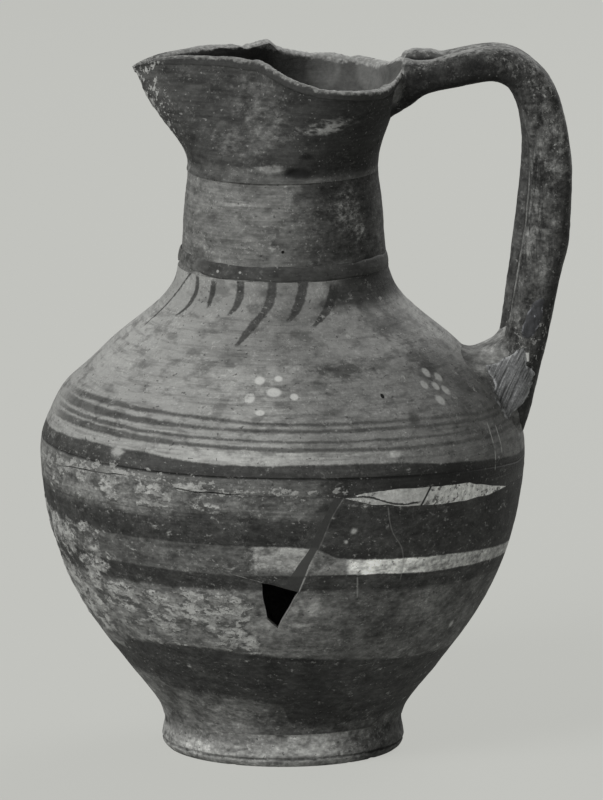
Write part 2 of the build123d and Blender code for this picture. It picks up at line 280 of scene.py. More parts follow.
def wheel_marks(points, depth=0.10):
    """Throwing ridges and the slight unevenness of a hand-thrown wall, as a height in millimetres."""
    rings = points * np.array([0.02, 0.02, 1.0])
    ridges = grain(rings, 5.0, 11, 2) + 0.6 * grain(rings, 1.8, 12, 2)
    uneven = grain(points, 38.0, 13, 2)
    return depth * ridges + 0.45 * uneven + 0.05 * grain(points, 2.6, 14, 2)


def azimuth_of(points):
    return np.degrees(np.arctan2(points[..., 0], -points[..., 1]))


def crust_cover(points):
    """How much of the surface lime crust covers: thick patches low on the spout side."""
    azimuth = azimuth_of(points)
    height = points[..., 2]
    folded = np.where(np.abs(azimuth) > 90, np.sign(azimuth) * (180 - np.abs(azimuth)), azimuth)
    low_patch = step_up(-1, -12, folded) * step_up(51, 57, height) * step_up(85, 80, height)
    side_patch = step_up(-40, -58, folded) * step_up(58, 66, height) * step_up(112, 104, height)
    break_flakes = 0.75 * step_up(4, -20, folded) * step_up(113, 120, height) * step_up(132, 128, height)
    place = np.maximum(np.maximum(low_patch, side_patch), break_flakes)
    broken = 0.7 * grain(points, (17, 17, 11), 21, 4) + 0.8 * grain(points, (6, 6, 4), 23, 3)
    return step_up(0.30, 1.05, place + broken - 0.22)


# The body's outline, with the direction square to it
body_rings = 236
profile_radii, profile_heights = profile_of(body_tree, foot_top + 0.3, seat_height - 0.3, body_rings)
profile_heights[0] = foot_top
profile_heights[-1] = seat_height
profile_slope = np.hypot(np.gradient(profile_radii), np.gradient(profile_heights))
profile_out_r = np.gradient(profile_heights) / profile_slope
profile_out_z = -np.gradient(profile_radii) / profile_slope


def body_rows():
    """Rows of points up the outside, down the inside and across the floor."""
    radii, heights, out_r, out_z = profile_radii, profile_heights, profile_out_r, profile_out_z
    rows = []
    for radius, height, way_r, way_z in zip(radii, heights, out_r, out_z):
        ring = around_axis(radius, height, azimuths)
        proud = wheel_marks(ring) + 0.35 * crust_cover(ring) * (1 + 1.3 * grain(ring, 3.0, 22, 2))
        calm = min(1.0, (height - foot_top) / calm_reach, (seat_height - height) / calm_reach)
        proud = proud * max(calm, 0)
        rows.append(around_axis(radius + proud * way_r, height, azimuths))
        rows[-1][:, 2] += proud * way_z
    inner_r = (radii - wall * out_r)[::-4]
    inner_z = (heights - wall * out_z)[::-4]
    keep = inner_z > foot_top + floor_thickness + 2
    inner_r[0] = radii[-1] - wall
    inner_z[0] = seat_height
    for radius, height in zip(inner_r[keep], inner_z[keep]):
        calm = min(1, (seat_height - height) / calm_reach)
        proud = 0.5 * wheel_marks(around_axis(radius, height, azimuths), 0.5) * calm
        rows.append(around_axis(radius + proud, height, azimuths))
    floor_radius = inner_r[keep][-1]
    floor_height = foot_top + floor_thickness
    for share in (0.93, 0.8, 0.5, 0.2):
        rows.append(around_axis(floor_radius * share, floor_height + (0.6 if share > 0.9 else 0), azimuths))
    underside = [around_axis(radii[0] * share, foot_top, azimuths) for share in (0.15, 0.5, 0.8)]
    return underside + rows


break_step = 1.6
past_wall = belly_radius + 15


def on_belly(shares):
    return [np.array([across * belly_radius, up * belly_height]) for across, up in shares]


def ragged(outline, amount=0.5):
    """The outline with a broken edge; a stretch that two outlines share breaks the same way in both."""
    points = []
    for start, end in zip(outline, outline[1:] + outline[:1]):
        count = max(1, round(float(np.linalg.norm(end - start)) / break_step))
        for share in np.arange(count) / count:
            points.append(start + share * (end - start))
    points = np.array(points)
    flat = np.stack([points[:, 0], np.zeros(len(points)), points[:, 1]], axis=-1)
    points[:, 0] += amount * grain(flat, 4.0, 31, 3)
    points[:, 1] += amount * grain(flat, 4.0, 32, 3)
    return points


def block(name, outline, depth_from, depth_to):
    """A closed block with this outline in the front view, between two depths along Y."""
    count = len(outline)
    points = [(x, depth_from, z) for x, z in outline] + [(x, depth_to, z) for x, z in outline]
    area = sum(a[0] * b[1] - b[0] * a[1] for a, b in zip(outline, np.roll(outline, -1, axis=0)))
    turn = 1 if area > 0 else -1
    faces = [list(range(count))[::turn], list(range(count, 2 * count))[::-turn]]
    for place in range(count):
        after = (place + 1) % count
        faces.append([place, place + count, after + count, after][::turn])
    return mesh_object(name, points, faces)


def raised(outline, gap):
    """The outline moved up unevenly, so that a crack opens and closes above it."""
    flat = np.stack([outline[:, 0], np.zeros(len(outline)), outline[:, 1]], axis=-1)
    moved = outline.copy()
    moved[:, 1] += gap * (0.3 + 1.6 * np.maximum(grain(flat, 14.0, 33, 2), 0))
    return moved


def front_cutter(name, shares, amount=0.5):
    """A block that cuts the front wall along a broken outline."""
    return block(name, ragged(on_belly(shares), amount), -past_wall, 0)


below_foot = -5.0
crack_gap = 0.5
break_line = on_belly(belly_break_shares)
whole_body = capped_solid("whole_body", body_rows())
keep_number(whole_body, "crust", crust_cover(places_of(whole_body)))
below_ends = [np.array([break_line[end][0], below_foot]) for end in (-1, 0)]
below_outline = ragged(break_line + below_ends)
below = block("below", below_outline, -past_wall, past_wall)
crack = block("crack", raised(below_outline, crack_gap), -past_wall, past_wall)
fill_block = front_cutter("fill", fill_bottom_shares + fill_top_shares)
hole_block = front_cutter("hole", hole_top_shares + hole_left_shares, 0.4)
strip_block = front_cutter("strip", diagonal_break_shares + strip_left_shares, 0.3)
upper_block = front_cutter("upper", upper_sherd_left_shares + strip_left_shares, 0.3)
right_block = front_cutter("right", diagonal_break_shares + right_sherd_edge_shares, 0.3)

upper_body = cut(cut(copy_of(whole_body, "thrown_shoulder"), crack, "DIFFERENCE"), fill_block, "DIFFERENCE")
crack_fill = cut(copy_of(whole_body, "pale_crack_filling"), fill_block, "INTERSECT")
bowl = cut(cut(whole_body, below, "INTERSECT"), hole_block, "DIFFERENCE")
upper_sherd = cut(copy_of(bowl, "sherd_above_hole"), upper_block, "INTERSECT")
right_sherd = cut(copy_of(bowl, "sherd_right_of_hole"), right_block, "INTERSECT")
fill_strip = cut(copy_of(bowl, "toned_filling"), strip_block, "INTERSECT")
lower_body = copy_of(bowl, "thrown_bowl")
for cutter in (strip_block, upper_block, right_block):
    cut(lower_body, cutter, "DIFFERENCE")
for used in (whole_body, below, crack, fill_block, hole_block, strip_block, upper_block, right_block):
    bpy.data.objects.remove(used)


# Neck, thrown apart and luted on the shoulder
neck_tree = ray_tree(nodes["neck"])
mouth_tree = ray_tree(nodes["mouth"])


def turned_rows(radii, heights, proud_of):
    """Rows around the axis, each one moved out by proud_of(its points)."""
    rows = []
    for radius, height in zip(radii, heights):
        ring = around_axis(radius, height, azimuths)
        rows.append(around_axis(radius + proud_of(ring), height, azimuths))
    return rows


radii, heights = profile_of(neck_tree, seat_height + 0.2, neck_top - 0.2, 46)
heights[0], heights[-1] = seat_height, neck_top
outer_rows = turned_rows(radii, heights, lambda ring: 1.2 * wheel_marks(ring))
inner_rows = turned_rows((radii - wall)[::-3], heights[::-3], lambda ring: 0.6 * wheel_marks(ring, 0.6))
neck = ring_solid("neck_wall", outer_rows + inner_rows)

# Clay ring around the foot of the neck: higher towards the spout, and hardly proud
ring_middle = 208.3
ring_half_width = 2.9
ring_radius = 44.0


def ring_rows():
    """Rows of points around the ring's section, on the neck's own outline."""
    signed = azimuth_of(around_axis(1, 0, azimuths))
    azimuth = np.abs(signed)
    spout_side = step_up(-38, -75, signed)
    spout_side = np.where(azimuth > 90, step_up(60, 105, azimuth) * (azimuths > 180), spout_side)
    middle = ring_middle + 1.6 * spout_side
    rows = []
    for turn in np.linspace(0, 2 * math.pi, 24, endpoint=False):
        ring = around_axis(ring_radius, middle, azimuths)
        swell = 1 + 0.30 * grain(ring, (9, 9, 9), 41, 2)
        height = middle + ring_half_width * swell * math.sin(turn)
        surface = np.interp(height, heights, radii)
        proud = 0.75 * swell * math.cos(turn) if math.cos(turn) > 0 else 0.6 * math.cos(turn)
        rows.append(around_axis(surface + proud - 0.05, height, azimuths))
    return rows


neck_ring = ring_solid("neck_base_ring", ring_rows())

# Foot: a turned ring with a thin groove above its worn resting edge
foot_tree = ray_tree(nodes["foot"])
groove_height = 3.6


def foot_proud(ring):
    """The thin groove, chips along the resting edge, and wheel marks that die out at both ends."""
    height = ring[..., 2]
    groove = -0.55 * np.exp(-((height - groove_height - 0.5 * grain(ring, 20, 51, 1)) / 0.55) ** 2)
    chips = -0.9 * step_up(0.30, 0.62, grain(ring, (4, 4, 2.4), 52, 3)) * step_up(4.5, 0.5, height)
    calm = step_up(0, 1.2, height) * step_up(foot_top, foot_top - 2, height)
    return (wheel_marks(ring) + groove + 0.15 * grain(ring, 1.8, 53, 2)) * calm + chips


foot_radii, foot_heights = profile_of(foot_tree, 0.05, foot_top - 0.1, 26)
foot_heights[0], foot_heights[-1] = 0.0, foot_top
low_inside, high_inside = [inner_radius(foot_tree, back_azimuth, height) for height in (0.3, foot_top - 0.2)]
hollow_heights = np.linspace(foot_top, 0, 10)
hollow_radii = np.interp(hollow_heights, [0, foot_top], [low_inside, high_inside])
foot_rows = turned_rows(foot_radii, foot_heights, foot_proud)
foot_rows += turned_rows(hollow_radii, hollow_heights,
                         lambda ring: 0.3 * grain(ring, 5, 54, 2) * step_up(0, 2, ring[..., 2]))
foot = ring_solid("ring_foot", foot_rows)

# Mouth: the frame's trefoil with a thickened lip, a chipped far rim and the potter's finger dent
mouth_around = 560
lip_height = 3.9
dent_azimuth = 6.5
dent_height = 250.6
peak_azimuth = 193
above_rim = 305.0


def edge_height(azimuth, reader):
    """Height of the rim's edge where the reader's surface ends at this azimuth."""
    low, high = neck_top + 5, above_rim
    for halving in range(18):
        middle = (low + high) / 2
        if reader(mouth_tree, azimuth, middle) > 5:
            low = middle
        else:
            high = middle
    return low


def mouth_azimuths():
    """Azimuths that are evenly spaced along the rim, so that the long spout keeps its detail."""
    tries = np.linspace(-90, 270, 721)
    radii = np.array([outer_radius(mouth_tree, azimuth, edge_height(azimuth, outer_radius) - 0.5)
                      for azimuth in tries])
    places = around_axis(radii, 0, tries)
    length = np.concatenate([[0], np.cumsum(np.linalg.norm(np.diff(places, axis=0), axis=1))])
    even = np.linspace(0, length[-1], mouth_around, endpoint=False)
    return np.interp(even, length, tries)


def mouth_rows():
    """Rows up the outside, over the lip and down the inside, with marks for the material to read."""
    turns = mouth_azimuths()
    outer_edge = np.array([edge_height(azimuth, outer_radius) for azimuth in turns])
    inner_edge = np.array([edge_height(azimuth, inner_radius) for azimuth in turns])
    edge_radius = np.array([outer_radius(mouth_tree, a, z - 0.4) for a, z in zip(turns, outer_edge)])
    edge_place = around_axis(edge_radius, outer_edge, turns)
    far_side = step_up(2, 14, edge_place[:, 1])
    worn = step_up(0.05, 0.55, grain(edge_place, (9, 9, 9), 61, 3))
    chips = (0.35 + 0.9 * far_side) * worn + 0.45 * np.abs(grain(edge_place, 1.9, 62, 2))
    near_dip = -1.4 * step_up(-88, -74, turns) * step_up(-24, -42, turns)
    far_peak = 2.4 * np.exp(-((turns - peak_azimuth) / np.where(turns > peak_azimuth, 16, 6)) ** 2)
    far_rise = 1.3 * step_up(95, 115, turns) * step_up(172, 150, turns)
    shift = near_dip + far_peak + far_rise
    rows = []
    marks = []
    shares = np.concatenate([np.linspace(0, 0.86, 44), np.linspace(0.875, 0.985, 18)])
    for share in shares:
        height = neck_top + share * (outer_edge - chips - neck_top)
        radius = np.array([outer_radius(mouth_tree, a, z) for a, z in zip(turns, height)])
        ring = around_axis(radius, height, turns)
        below_edge = outer_edge - height
        lip_low = lip_height + 0.5 * grain(ring, 22, 63, 1)
        lip = 0.75 * step_up(lip_low + 0.5, lip_low - 0.3, below_edge)
        rolled = -0.7 * step_up(1.6, 0.0, below_edge - chips)
        dent_across = radius * np.radians(turns - dent_azimuth)
        dent_up = height - dent_height - 0.14 * dent_across
        dent = -1.5 * np.exp(-(dent_across / 3.6) ** 2 - (dent_up / 1.7) ** 2)
        ledge_side = step_up(75, 5, np.abs(turns + 35))
        ledge = (0.95 * ledge_side - 0.35 * (1 - ledge_side)) * step_up(4.0, 0.3, height - neck_top)
        crust = 0.55 * step_up(-34, -52, ring[:, 0]) * step_up(-0.2, 0.5, grain(ring, 3.2, 64, 3))
        proud = lip + rolled + dent + ledge + crust + wheel_marks(ring) * step_up(0.3, 4, below_edge)
        rows.append(around_axis(radius + proud, height + shift * share ** 3, turns))
        marks.append((below_edge - chips, 0.0))
    outer_lip = rows[-1]
    inner_rows = []
    for share in np.linspace(0.975, 0, 34):
        height = neck_top + share * (inner_edge - chips - neck_top)
        radius = np.array([inner_radius(mouth_tree, a, z) for a, z in zip(turns, height)])
        proud = 0.6 * wheel_marks(around_axis(radius, height, turns), 0.5)
        inner_rows.append(around_axis(radius + proud, height + shift * share ** 3, turns))
    inner_lip = inner_rows[0]
    for share in np.linspace(0, 1, 8)[1:-1]:
        row = outer_lip + share * (inner_lip - outer_lip)
        crown = math.sqrt(1 - (2 * share - 1) ** 2)
        row[:, 2] += 0.75 * crown + 0.22 * grain(row, 1.5, 65, 2) * crown
        rows.append(row)
        marks.append((np.zeros(mouth_around), 0.5))
    for row in inner_rows:
        marks.append((outer_edge - row[:, 2], 1.0))
    return rows + inner_rows, marks


rows, marks = mouth_rows()
mouth = ring_solid("trefoil_mouth", rows)
keep_number(mouth, "below_edge", np.concatenate([below_edge for below_edge, share in marks]))
keep_number(mouth, "inside", np.repeat([share for below_edge, share in marks], mouth_around))

# Handle rolls: the frame's forms, remeshed finely, with flatter faces and hand-made unevenness
handle_pivot = (68.0, 226.0)
bow_radius = 60
roll_half_width = 9.0
roll_middle = 8.2
roll_detail = 0.8
slot_widening = 1.9
slot_far_rise = 1.7
slot_near_drop = 0.8
roll_gap = 0.06
slot_middle = 58.5
slot_reach = 6.0


def tucked_up(points, share):
    """Draws the underside of the handle's top end in towards the mouth."""
    tuck = share * step_up(62, 46, points[:, 0]) * step_up(280, 264, points[:, 2])
    points[:, 2] += 3.2 * tuck
    points[:, 0] -= 1.6 * tuck
    return points


def roll_centres(tree, side):
    """Middle and half thickness of a roll, read from a point inside the handle's loop."""
    turns = np.radians(np.arange(-58, 118, 2.0))
    middles = []
    for turn in turns:
        way = Vector((math.cos(turn), 0, math.sin(turn)))
        start = Vector((handle_pivot[0], side * roll_middle, handle_pivot[1]))
        near = tree.ray_cast(start, way, past_jug)[0]
        far = tree.ray_cast(start + way * past_jug, -way, past_jug)[0]
        near, far = (near - start).length, (far - start).length
        middles.append(((near + far) / 2, (far - near) / 2))
    return turns, np.array(middles)


def roll(node, name, side, seed):
    """A roll with squarer sides than its node, opened at the slot beside the rim, uneven and chipped."""
    piece = remeshed(copy_of(nodes[node], name), roll_detail)
    points = places_of(piece)
    turns, middles = roll_centres(ray_tree(nodes[node]), side)
    across = points[:, 0] - handle_pivot[0]
    up = points[:, 2] - handle_pivot[1]
    turn = np.arctan2(up, across)
    reach = np.hypot(across, up)
    middle = np.interp(turn, turns, middles[:, 0])
    half = np.interp(turn, turns, middles[:, 1])
    on_bow = step_up(turns[0] - 0.06, turns[0] + 0.1, turn)
    on_bow = on_bow * step_up(turns[-1] + 0.06, turns[-1] - 0.1, turn)
    out = (reach - middle) / half
    side_way = (points[:, 1] - side * roll_middle) / roll_half_width
    flatness = 3.0
    round_size = np.sqrt(out ** 2 + side_way ** 2)
    square_size = (np.abs(out) ** flatness + np.abs(side_way) ** flatness) ** (1 / flatness)
    grow = 1 + on_bow * (round_size / np.maximum(square_size, 0.2) - 1)
    new_reach = middle + out * half * grow
    points[:, 0] += np.cos(turn) * (new_reach - reach)
    points[:, 2] += np.sin(turn) * (new_reach - reach)
    points[:, 1] = side * roll_middle + side_way * roll_half_width * grow
    slot = np.exp(-((points[:, 0] - slot_middle) / slot_reach) ** 4) * step_up(0.0, 0.8, out)
    points[:, 1] += side * slot_widening * slot * step_up(0.1, 0.9, -side * side_way)
    points[:, 2] += slot * (slot_far_rise if side > 0 else -slot_near_drop)
    place_points(piece, tucked_up(points, 1.0))
    normals = normals_of(piece)
    along = turn * bow_radius
    unrolled = np.stack([along, points[:, 1], reach], axis=-1)
    proud = 0.35 * grain(points, 16, seed, 2) + 0.22 * grain(unrolled, (14, 2.4, 2.4), seed + 3, 2)
    proud += 0.10 * grain(points, 2.4, seed + 5, 2)
    proud -= 0.5 * step_up(0.45, 0.75, grain(points, 4.5, seed + 7, 2))
    points += normals * proud[:, None]
    points[:, 1] = side * np.maximum(side * points[:, 1], roll_gap / 2)
    place_points(piece, points)
    keep_number(piece, "outwards", out)
    keep_number(piece, "along", along)
    return piece


near_roll = roll("handle_roll_near", "near_clay_roll", -1, 71)
far_roll = roll("handle_roll_far", "far_clay_roll", 1, 81)

# Clay smoothed into the angles of the handle's two ends
join_detail = 0.9
join_sink = 0.4
join_half_width = 22
root_outline = [(74, 136), (102, 136), (102, 164), (99, 172), (99, 192), (74, 192)]
top_outline = [(36, 250), (62, 250), (62, 269), (50, 277), (49, 296), (36, 296)]


def filled_join(name, parts, outline, fillet):
    """These nodes and each roll, joined, with the angles between them filled round; cut to an outline."""
    joins = []
    for roll_node in ("handle_roll_near", "handle_roll_far"):
        join = mesh_object(roll_node + "_join", *shape_of([nodes[part] for part in [*parts, roll_node]]))
        remeshed(join, join_detail)
        for step in (fillet / 2, fillet / 2, -fillet / 2, -fillet / 2 - join_sink):
            place_points(join, places_of(join) + step * normals_of(join))
            remeshed(join, join_detail)
            with_modifier(join, "SMOOTH", factor=0.5, iterations=3)
        joins.append(join)
    both = remeshed(mesh_object(name, *shape_of(joins)), join_detail)
    with_modifier(both, "SMOOTH", factor=0.5, iterations=6)
    points = places_of(both)
    points += 0.3 * normals_of(both) * grain(points, 6.0, 91, 3)[:, None]
    place_points(both, tucked_up(points, 0.45))
    cutter = block("cutter", [np.array(corner) for corner in outline], -join_half_width, join_half_width)
    cut(both, cutter, "INTERSECT")
    for used in (*joins, cutter):
        bpy.data.objects.remove(used)
    return both


root_clay = filled_join("smoothed_root_clay", ["upper_body", "handle_root_clay"], root_outline, 6.0)
top_clay = filled_join("smoothed_top_joint", ["mouth", "neck"], top_outline, 8.0)

# Striated plaster over the near side of the root, and a thin skim above it
patch_outline = [(83.8, 164.8), (89.6, 165.2), (93.6, 168.6), (98.2, 171.4), (101.4, 172.2)]
patch_outline += [(102.6, 165.0), (105.4, 160.6), (103.0, 152.6), (101.0, 148.8), (94.6, 143.2)]
patch_outline += [(91.2, 147.4), (87.8, 154.2), (88.6, 156.8), (85.6, 162.4)]
skim_outline = [(100.2, 177.0), (100.0, 180.4), (101.4, 185.4), (104.0, 190.4), (107.2, 193.6)]
skim_outline += [(109.4, 193.6), (108.6, 186.0), (105.6, 178.4), (102.8, 176.2)]
patch_detail = 0.45
tucked = 0.6
deepest_step = 2.5
stroke_way = math.radians(64)
before_root = -60
root_depth = 80
under_tree = ray_tree(near_roll, upper_body, root_clay)


def distance_inside(outline, across, up):
    """How far inside an outline each place lies; below 0 outside it."""
    nearest = np.full(across.shape, 1e9)
    enclosed = np.zeros(across.shape, bool)
    for (ax, az), (bx, bz) in zip(outline, outline[1:] + outline[:1]):
        along_x, along_z = bx - ax, bz - az
        share = ((across - ax) * along_x + (up - az) * along_z) / (along_x ** 2 + along_z ** 2)
        share = np.clip(share, 0, 1)
        nearest = np.minimum(nearest, np.hypot(across - ax - share * along_x, up - az - share * along_z))
        if along_z:
            crossed = (az > up) != (bz > up)
            enclosed ^= crossed & (across < along_x * (up - az) / along_z + ax)
    return np.where(enclosed, nearest, -nearest)


def skin(name, outline, thickness, ragged_by, seed, strokes):
    """A thin layer over the near side of the root; its edge dips under what it covers."""
    corners = np.array(outline)
    low, high = corners.min(axis=0) - 3, corners.max(axis=0) + 3
    xs, zs = np.arange(low[0], high[0], patch_detail), np.arange(low[1], high[1], patch_detail)
    across, up = np.meshgrid(xs, zs, indexing="ij")
    flat = np.stack([across, np.zeros_like(across), up], axis=-1)
    inset = distance_inside(outline, across, up) + ragged_by * grain(flat, 3.0, seed, 4)
    surface = np.full(across.shape, np.nan)
    for place in np.ndindex(across.shape):
        if inset[place] > -2 * tucked:
            start = Vector((across[place], before_root, up[place]))
            hit = under_tree.ray_cast(start, Vector((0, 1, 0)), root_depth)[0]
            if hit:
                surface[place] = hit.y
    along = across * math.cos(stroke_way) + up * math.sin(stroke_way)
    beside = -across * math.sin(stroke_way) + up * math.cos(stroke_way)
    stroke = grain(np.stack([along, beside, 0 * along], axis=-1), (9, 0.9, 5), seed + 3, 4)
    proud = thickness * step_up(0, 0.9, inset) - tucked * step_up(0, -tucked, inset)
    proud += strokes * stroke * step_up(0, 1.2, inset) + 0.10 * grain(flat, 1.4, seed + 5, 2)
    keep = (inset > -2 * tucked) & np.isfinite(surface)
    number = np.full(across.shape, -1)
    number[keep] = np.arange(keep.sum())
    front = np.stack([across, surface - proud, up], axis=-1)[keep]
    back = np.stack([across, surface + 2 * tucked, up], axis=-1)[keep]
    count = len(front)
    faces = []
    for i, j in np.ndindex(across.shape[0] - 1, across.shape[1] - 1):
        quad = [number[i, j], number[i + 1, j], number[i + 1, j + 1], number[i, j + 1]]
        if min(quad) >= 0 and np.ptp(front[quad, 1]) < deepest_step:
            faces.append([int(corner) for corner in quad])
    edges = {(start, end) for face in faces for start, end in zip(face, face[1:] + face[:1])}
    outer_edges = [edge for edge in sorted(edges) if edge[::-1] not in edges]
    sides = [[end, start, start + count, end + count] for start, end in outer_edges]
    faces += [[corner + count for corner in face[::-1]] for face in faces] + sides
    used = sorted({corner for face in faces for corner in face})
    place_of = {corner: place for place, corner in enumerate(used)}
    faces = [[place_of[corner] for corner in face] for face in faces]
    piece = mesh_object(name, np.concatenate([front, back])[used], faces)
    keep_number(piece, "stroke", np.tile(stroke[keep], 2)[used])
    keep_number(piece, "inset", np.tile(inset[keep], 2)[used])
    return piece


plaster = skin("striated_plaster", patch_outline, 0.50, 1.1, 101, 0.20)
skim = skin("smooth_plaster_skim", skim_outline, 0.30, 0.7, 111, 0.10)

# Camera, as in the photograph
camera = placed("camera", bpy.data.cameras.new("camera"))
bpy.context.scene.camera = camera
camera.data.sensor_fit = "HORIZONTAL"
camera.data.sensor_width = 36.0
camera.data.lens = 782.0
camera.data.clip_end = 50.0
camera_distance = 5.5
camera_drop = math.radians(10.8)
aim = Vector((0.0078, 0.0, 0.147))
camera.location = aim + camera_distance * Vector((0, -math.cos(camera_drop), math.sin(camera_drop)))
camera.rotation_euler = (math.pi / 2 - camera_drop, 0, 0)


# Materials are sums of fields: numbers that vary over the surface, made by shader nodes

class Field:
    """A number over the surface; sums and products of fields add nodes to the material being made."""

    def __init__(self, socket):
        self.socket = socket

    def __add__(self, other):
        return maths("ADD", self, other)

    def __sub__(self, other):
        return maths("SUBTRACT", self, other)

    def __rsub__(self, other):
        return maths("SUBTRACT", other, self)

    def __mul__(self, other):
        return maths("MULTIPLY", self, other)

    def __truediv__(self, other):
        return maths("DIVIDE", self, other)

    def __abs__(self):
        return maths("ABSOLUTE", self)

    __radd__ = __add__
    __rmul__ = __mul__


sheet = None


def started(owner):
    """The material or world, with an empty sheet of nodes to be made on."""
    global sheet
    owner.use_nodes = True
    sheet = owner.node_tree
    sheet.nodes.clear()
    return owner


def made(kind, feeds, output=0, **settings):
    """Adds a node to what is being made; feeds are pairs of an input and a field or number."""
    node = sheet.nodes.new("ShaderNode" + kind)
    for name, value in settings.items():
        setattr(node, name, value)
    for place, feed in feeds:
        if isinstance(feed, Field):
            sheet.links.new(feed.socket, node.inputs[place])
        else:
            node.inputs[place].default_value = feed
    return Field(node.outputs[output]) if node.outputs else None


def maths(operation, *feeds):
    return made("Math", enumerate(feeds), operation=operation)


def most(*fields):
    total = fields[0]
    for field in fields[1:]:
        total = maths("MAXIMUM", total, field)
    return total


def fade(low, high, value):
    """0 at low, 1 at high, and smooth between them."""
    return made("MapRange", [(0, value), (1, low), (2, high)], interpolation_type="SMOOTHSTEP")


def blend(share, start, end):
    return made("Mix", [(0, share), (2, start), (3, end)], data_type="FLOAT")


def inside(low, high, value, soft=0.6):
    """1 between low and high, with soft edges."""
    return fade(low - soft, low + soft, value) * fade(high + soft, high - soft, value)


def cells(size, seed):
    """Where the surface lies, in steps of this size in millimetres."""
    size = size if isinstance(size, tuple) else (size, size, size)
    place = made("TexCoord", [], output="Object")
    steps = tuple(1 / (MM * each) for each in size)
    shift = (seed * 1.37, seed * 2.71, seed * 0.83)
    return made("VectorMath", [(0, place), (1, steps), (2, shift)], operation="MULTIPLY_ADD")


def noise(places, detail, roughness):
    """Noise from about -1 to 1, with features a unit wide."""
    feeds = [("Vector", places), ("Scale", 1.0), ("Detail", detail), ("Roughness", roughness)]
    return (made("TexNoise", feeds) - 0.5) * 3.2


def cloud(size, seed, detail=2.0, roughness=0.5):
    """Noise with features of this size in millimetres."""
    return noise(cells(size, seed), detail, roughness)


def specks(size, seed):
    """Scattered small spots without a regular shape."""
    return fade(0.62, 0.80, cloud(size, seed, 1, 0.5))


def kept_number(name):
    """A number that the mesh keeps for each of its points."""
    return made("Attribute", [], output="Fac", attribute_name=name)


def number_at(value, points):
    """A smooth line through these points (value, number), level beyond its ends."""
    firsts = [first for first, second in points]
    seconds = [second for first, second in points]
    low, high = min(firsts), max(firsts)
    bottom, top = min(seconds) - 1, max(seconds) + 1
    curve = made("FloatCurve", [("Value", (value - low) * (1 / (high - low)))])
    line = curve.socket.node.mapping.curves[0]
    ordered = sorted(points)
    for place, (first, second) in enumerate(ordered):
        at = ((first - low) / (high - low), (second - bottom) / (top - bottom))
        if place in (0, len(ordered) - 1):
            line.points[0 if place == 0 else -1].location = at
        else:
            line.points.new(*at)
    curve.socket.node.mapping.extend = "HORIZONTAL"
    curve.socket.node.mapping.update()
    return curve * (top - bottom) + bottom


# Of the level way across a slanting stroke, the share that lies square to it
slant_share = 0.87


class Surface:
    """A material being made, with where each point of the surface lies."""

    def __init__(self, name):
        self.material = started(bpy.data.materials.new(name))
        place = made("TexCoord", [], output="Object")
        split = made("SeparateXYZ", [(0, place)])
        parts = split.socket.node.outputs
        self.x, self.y, self.z = (Field(part) * (1 / MM) for part in parts)
        self.turn = maths("ARCTAN2", self.x, abs(self.y)) * math.degrees(1)
        self.front = fade(1.0, -1.0, self.y)
        self.radius = maths("SQRT", self.x * self.x + self.y * self.y)

    def finish(self, tone, relief, rough, tint=(1.0, 1.004, 0.962), specular=0.25):
        """Ends the material: tone as a grey of 0 to 255 on the screen, and relief in millimetres."""
        level = maths("POWER", maths("MAXIMUM", tone, 4.0) / 255.0, 2.2)
        colour = made("CombineColor", [(place, level * part) for place, part in enumerate(tint)])
        bump = made("Bump", [("Height", relief), ("Distance", MM), ("Strength", 1.0)])
        shader = made("BsdfPrincipled", [("Base Color", colour), ("Roughness", rough), ("Normal", bump),
                                         ("Specular IOR Level", specular)])
        made("OutputMaterial", [("Surface", shader)])
        return self.material

    def stroke(self, points, half_width, soft):
        """A brush stroke or crack through these points (turn, height), as a cover from 0 to 1."""
        heights = [height for turn, height in points]
        middle = number_at(self.z, [(height, turn) for turn, height in points])
        off = abs(self.turn - middle) * self.radius * (math.radians(1) * slant_share)
        ends = inside(min(heights), max(heights), self.z, 0.8)
        return fade(half_width + soft, half_width - soft, off) * ends

    def away(self, turn, height, half_wide, half_high):
        """How far off an oval's middle a point lies: 1 at the oval's edge."""
        across = (self.turn - turn) * self.radius * (math.radians(1) / half_wide)
        up = (self.z - height) * (1 / half_high)
        return maths("SQRT", across * across + up * up)

    def spot(self, turn, height, half_wide, half_high, soft=0.12):
        """An oval spot as a cover from 0 to 1."""
        return fade(soft + 1, 1 - soft, self.away(turn, height, half_wide, half_high))

    def stain(self, turn, height, half_wide, half_high, seed, ragged=0.6):
        """A stain without a clear edge, broken up by the pores of the clay."""
        broken = cloud((5, 5, 3), seed, 4, 0.65) * ragged
        return fade(1.25, 0.35, self.away(turn, height, half_wide, half_high) + broken)

    def stains(self, *rows):
        return most(*[self.stain(*row) for row in rows])

    def stained(self, tone, *rows):
        """The tone under stains, each with where it lies, how much it covers and its own tone."""
        for place, share, stain_tone in rows:
            tone = blend(self.stain(*place) * share, tone, stain_tone)
        return tone


def aged(tone, seed, dust=1.0, depth=1.0):
    """The tone after long burial: blotches, fine grain, dirt, and pale dust in the pores."""
    blotch = cloud((14, 14, 9), seed, 3, 0.6)
    middling = cloud((6, 6, 3), seed + 7, 3, 0.65)
    fine = cloud((2.2, 2.2, 1.4), seed + 1, 2, 0.6)
    dirt = fade(0.0, 0.55, cloud((9, 9, 5), seed + 2, 3, 0.6))
    tone = tone * (1 + (0.14 * blotch + 0.16 * middling + 0.12 * fine) * depth) * (1 - 0.20 * dirt)
    patches = 0.2 + 0.8 * fade(-0.2, 0.4, cloud(9, seed + 3, 3))
    powder = fade(0.10, 0.55, cloud(1.3, seed + 4, 2, 0.7)) * patches
    tone = tone + (26 * dust) * powder
    tone = blend(specks((1.7, 1.7, 1.3), seed + 5) * 0.5, tone, 160)
    return blend(specks((1.9, 1.9, 1.5), seed + 6) * 0.45, tone, 36)


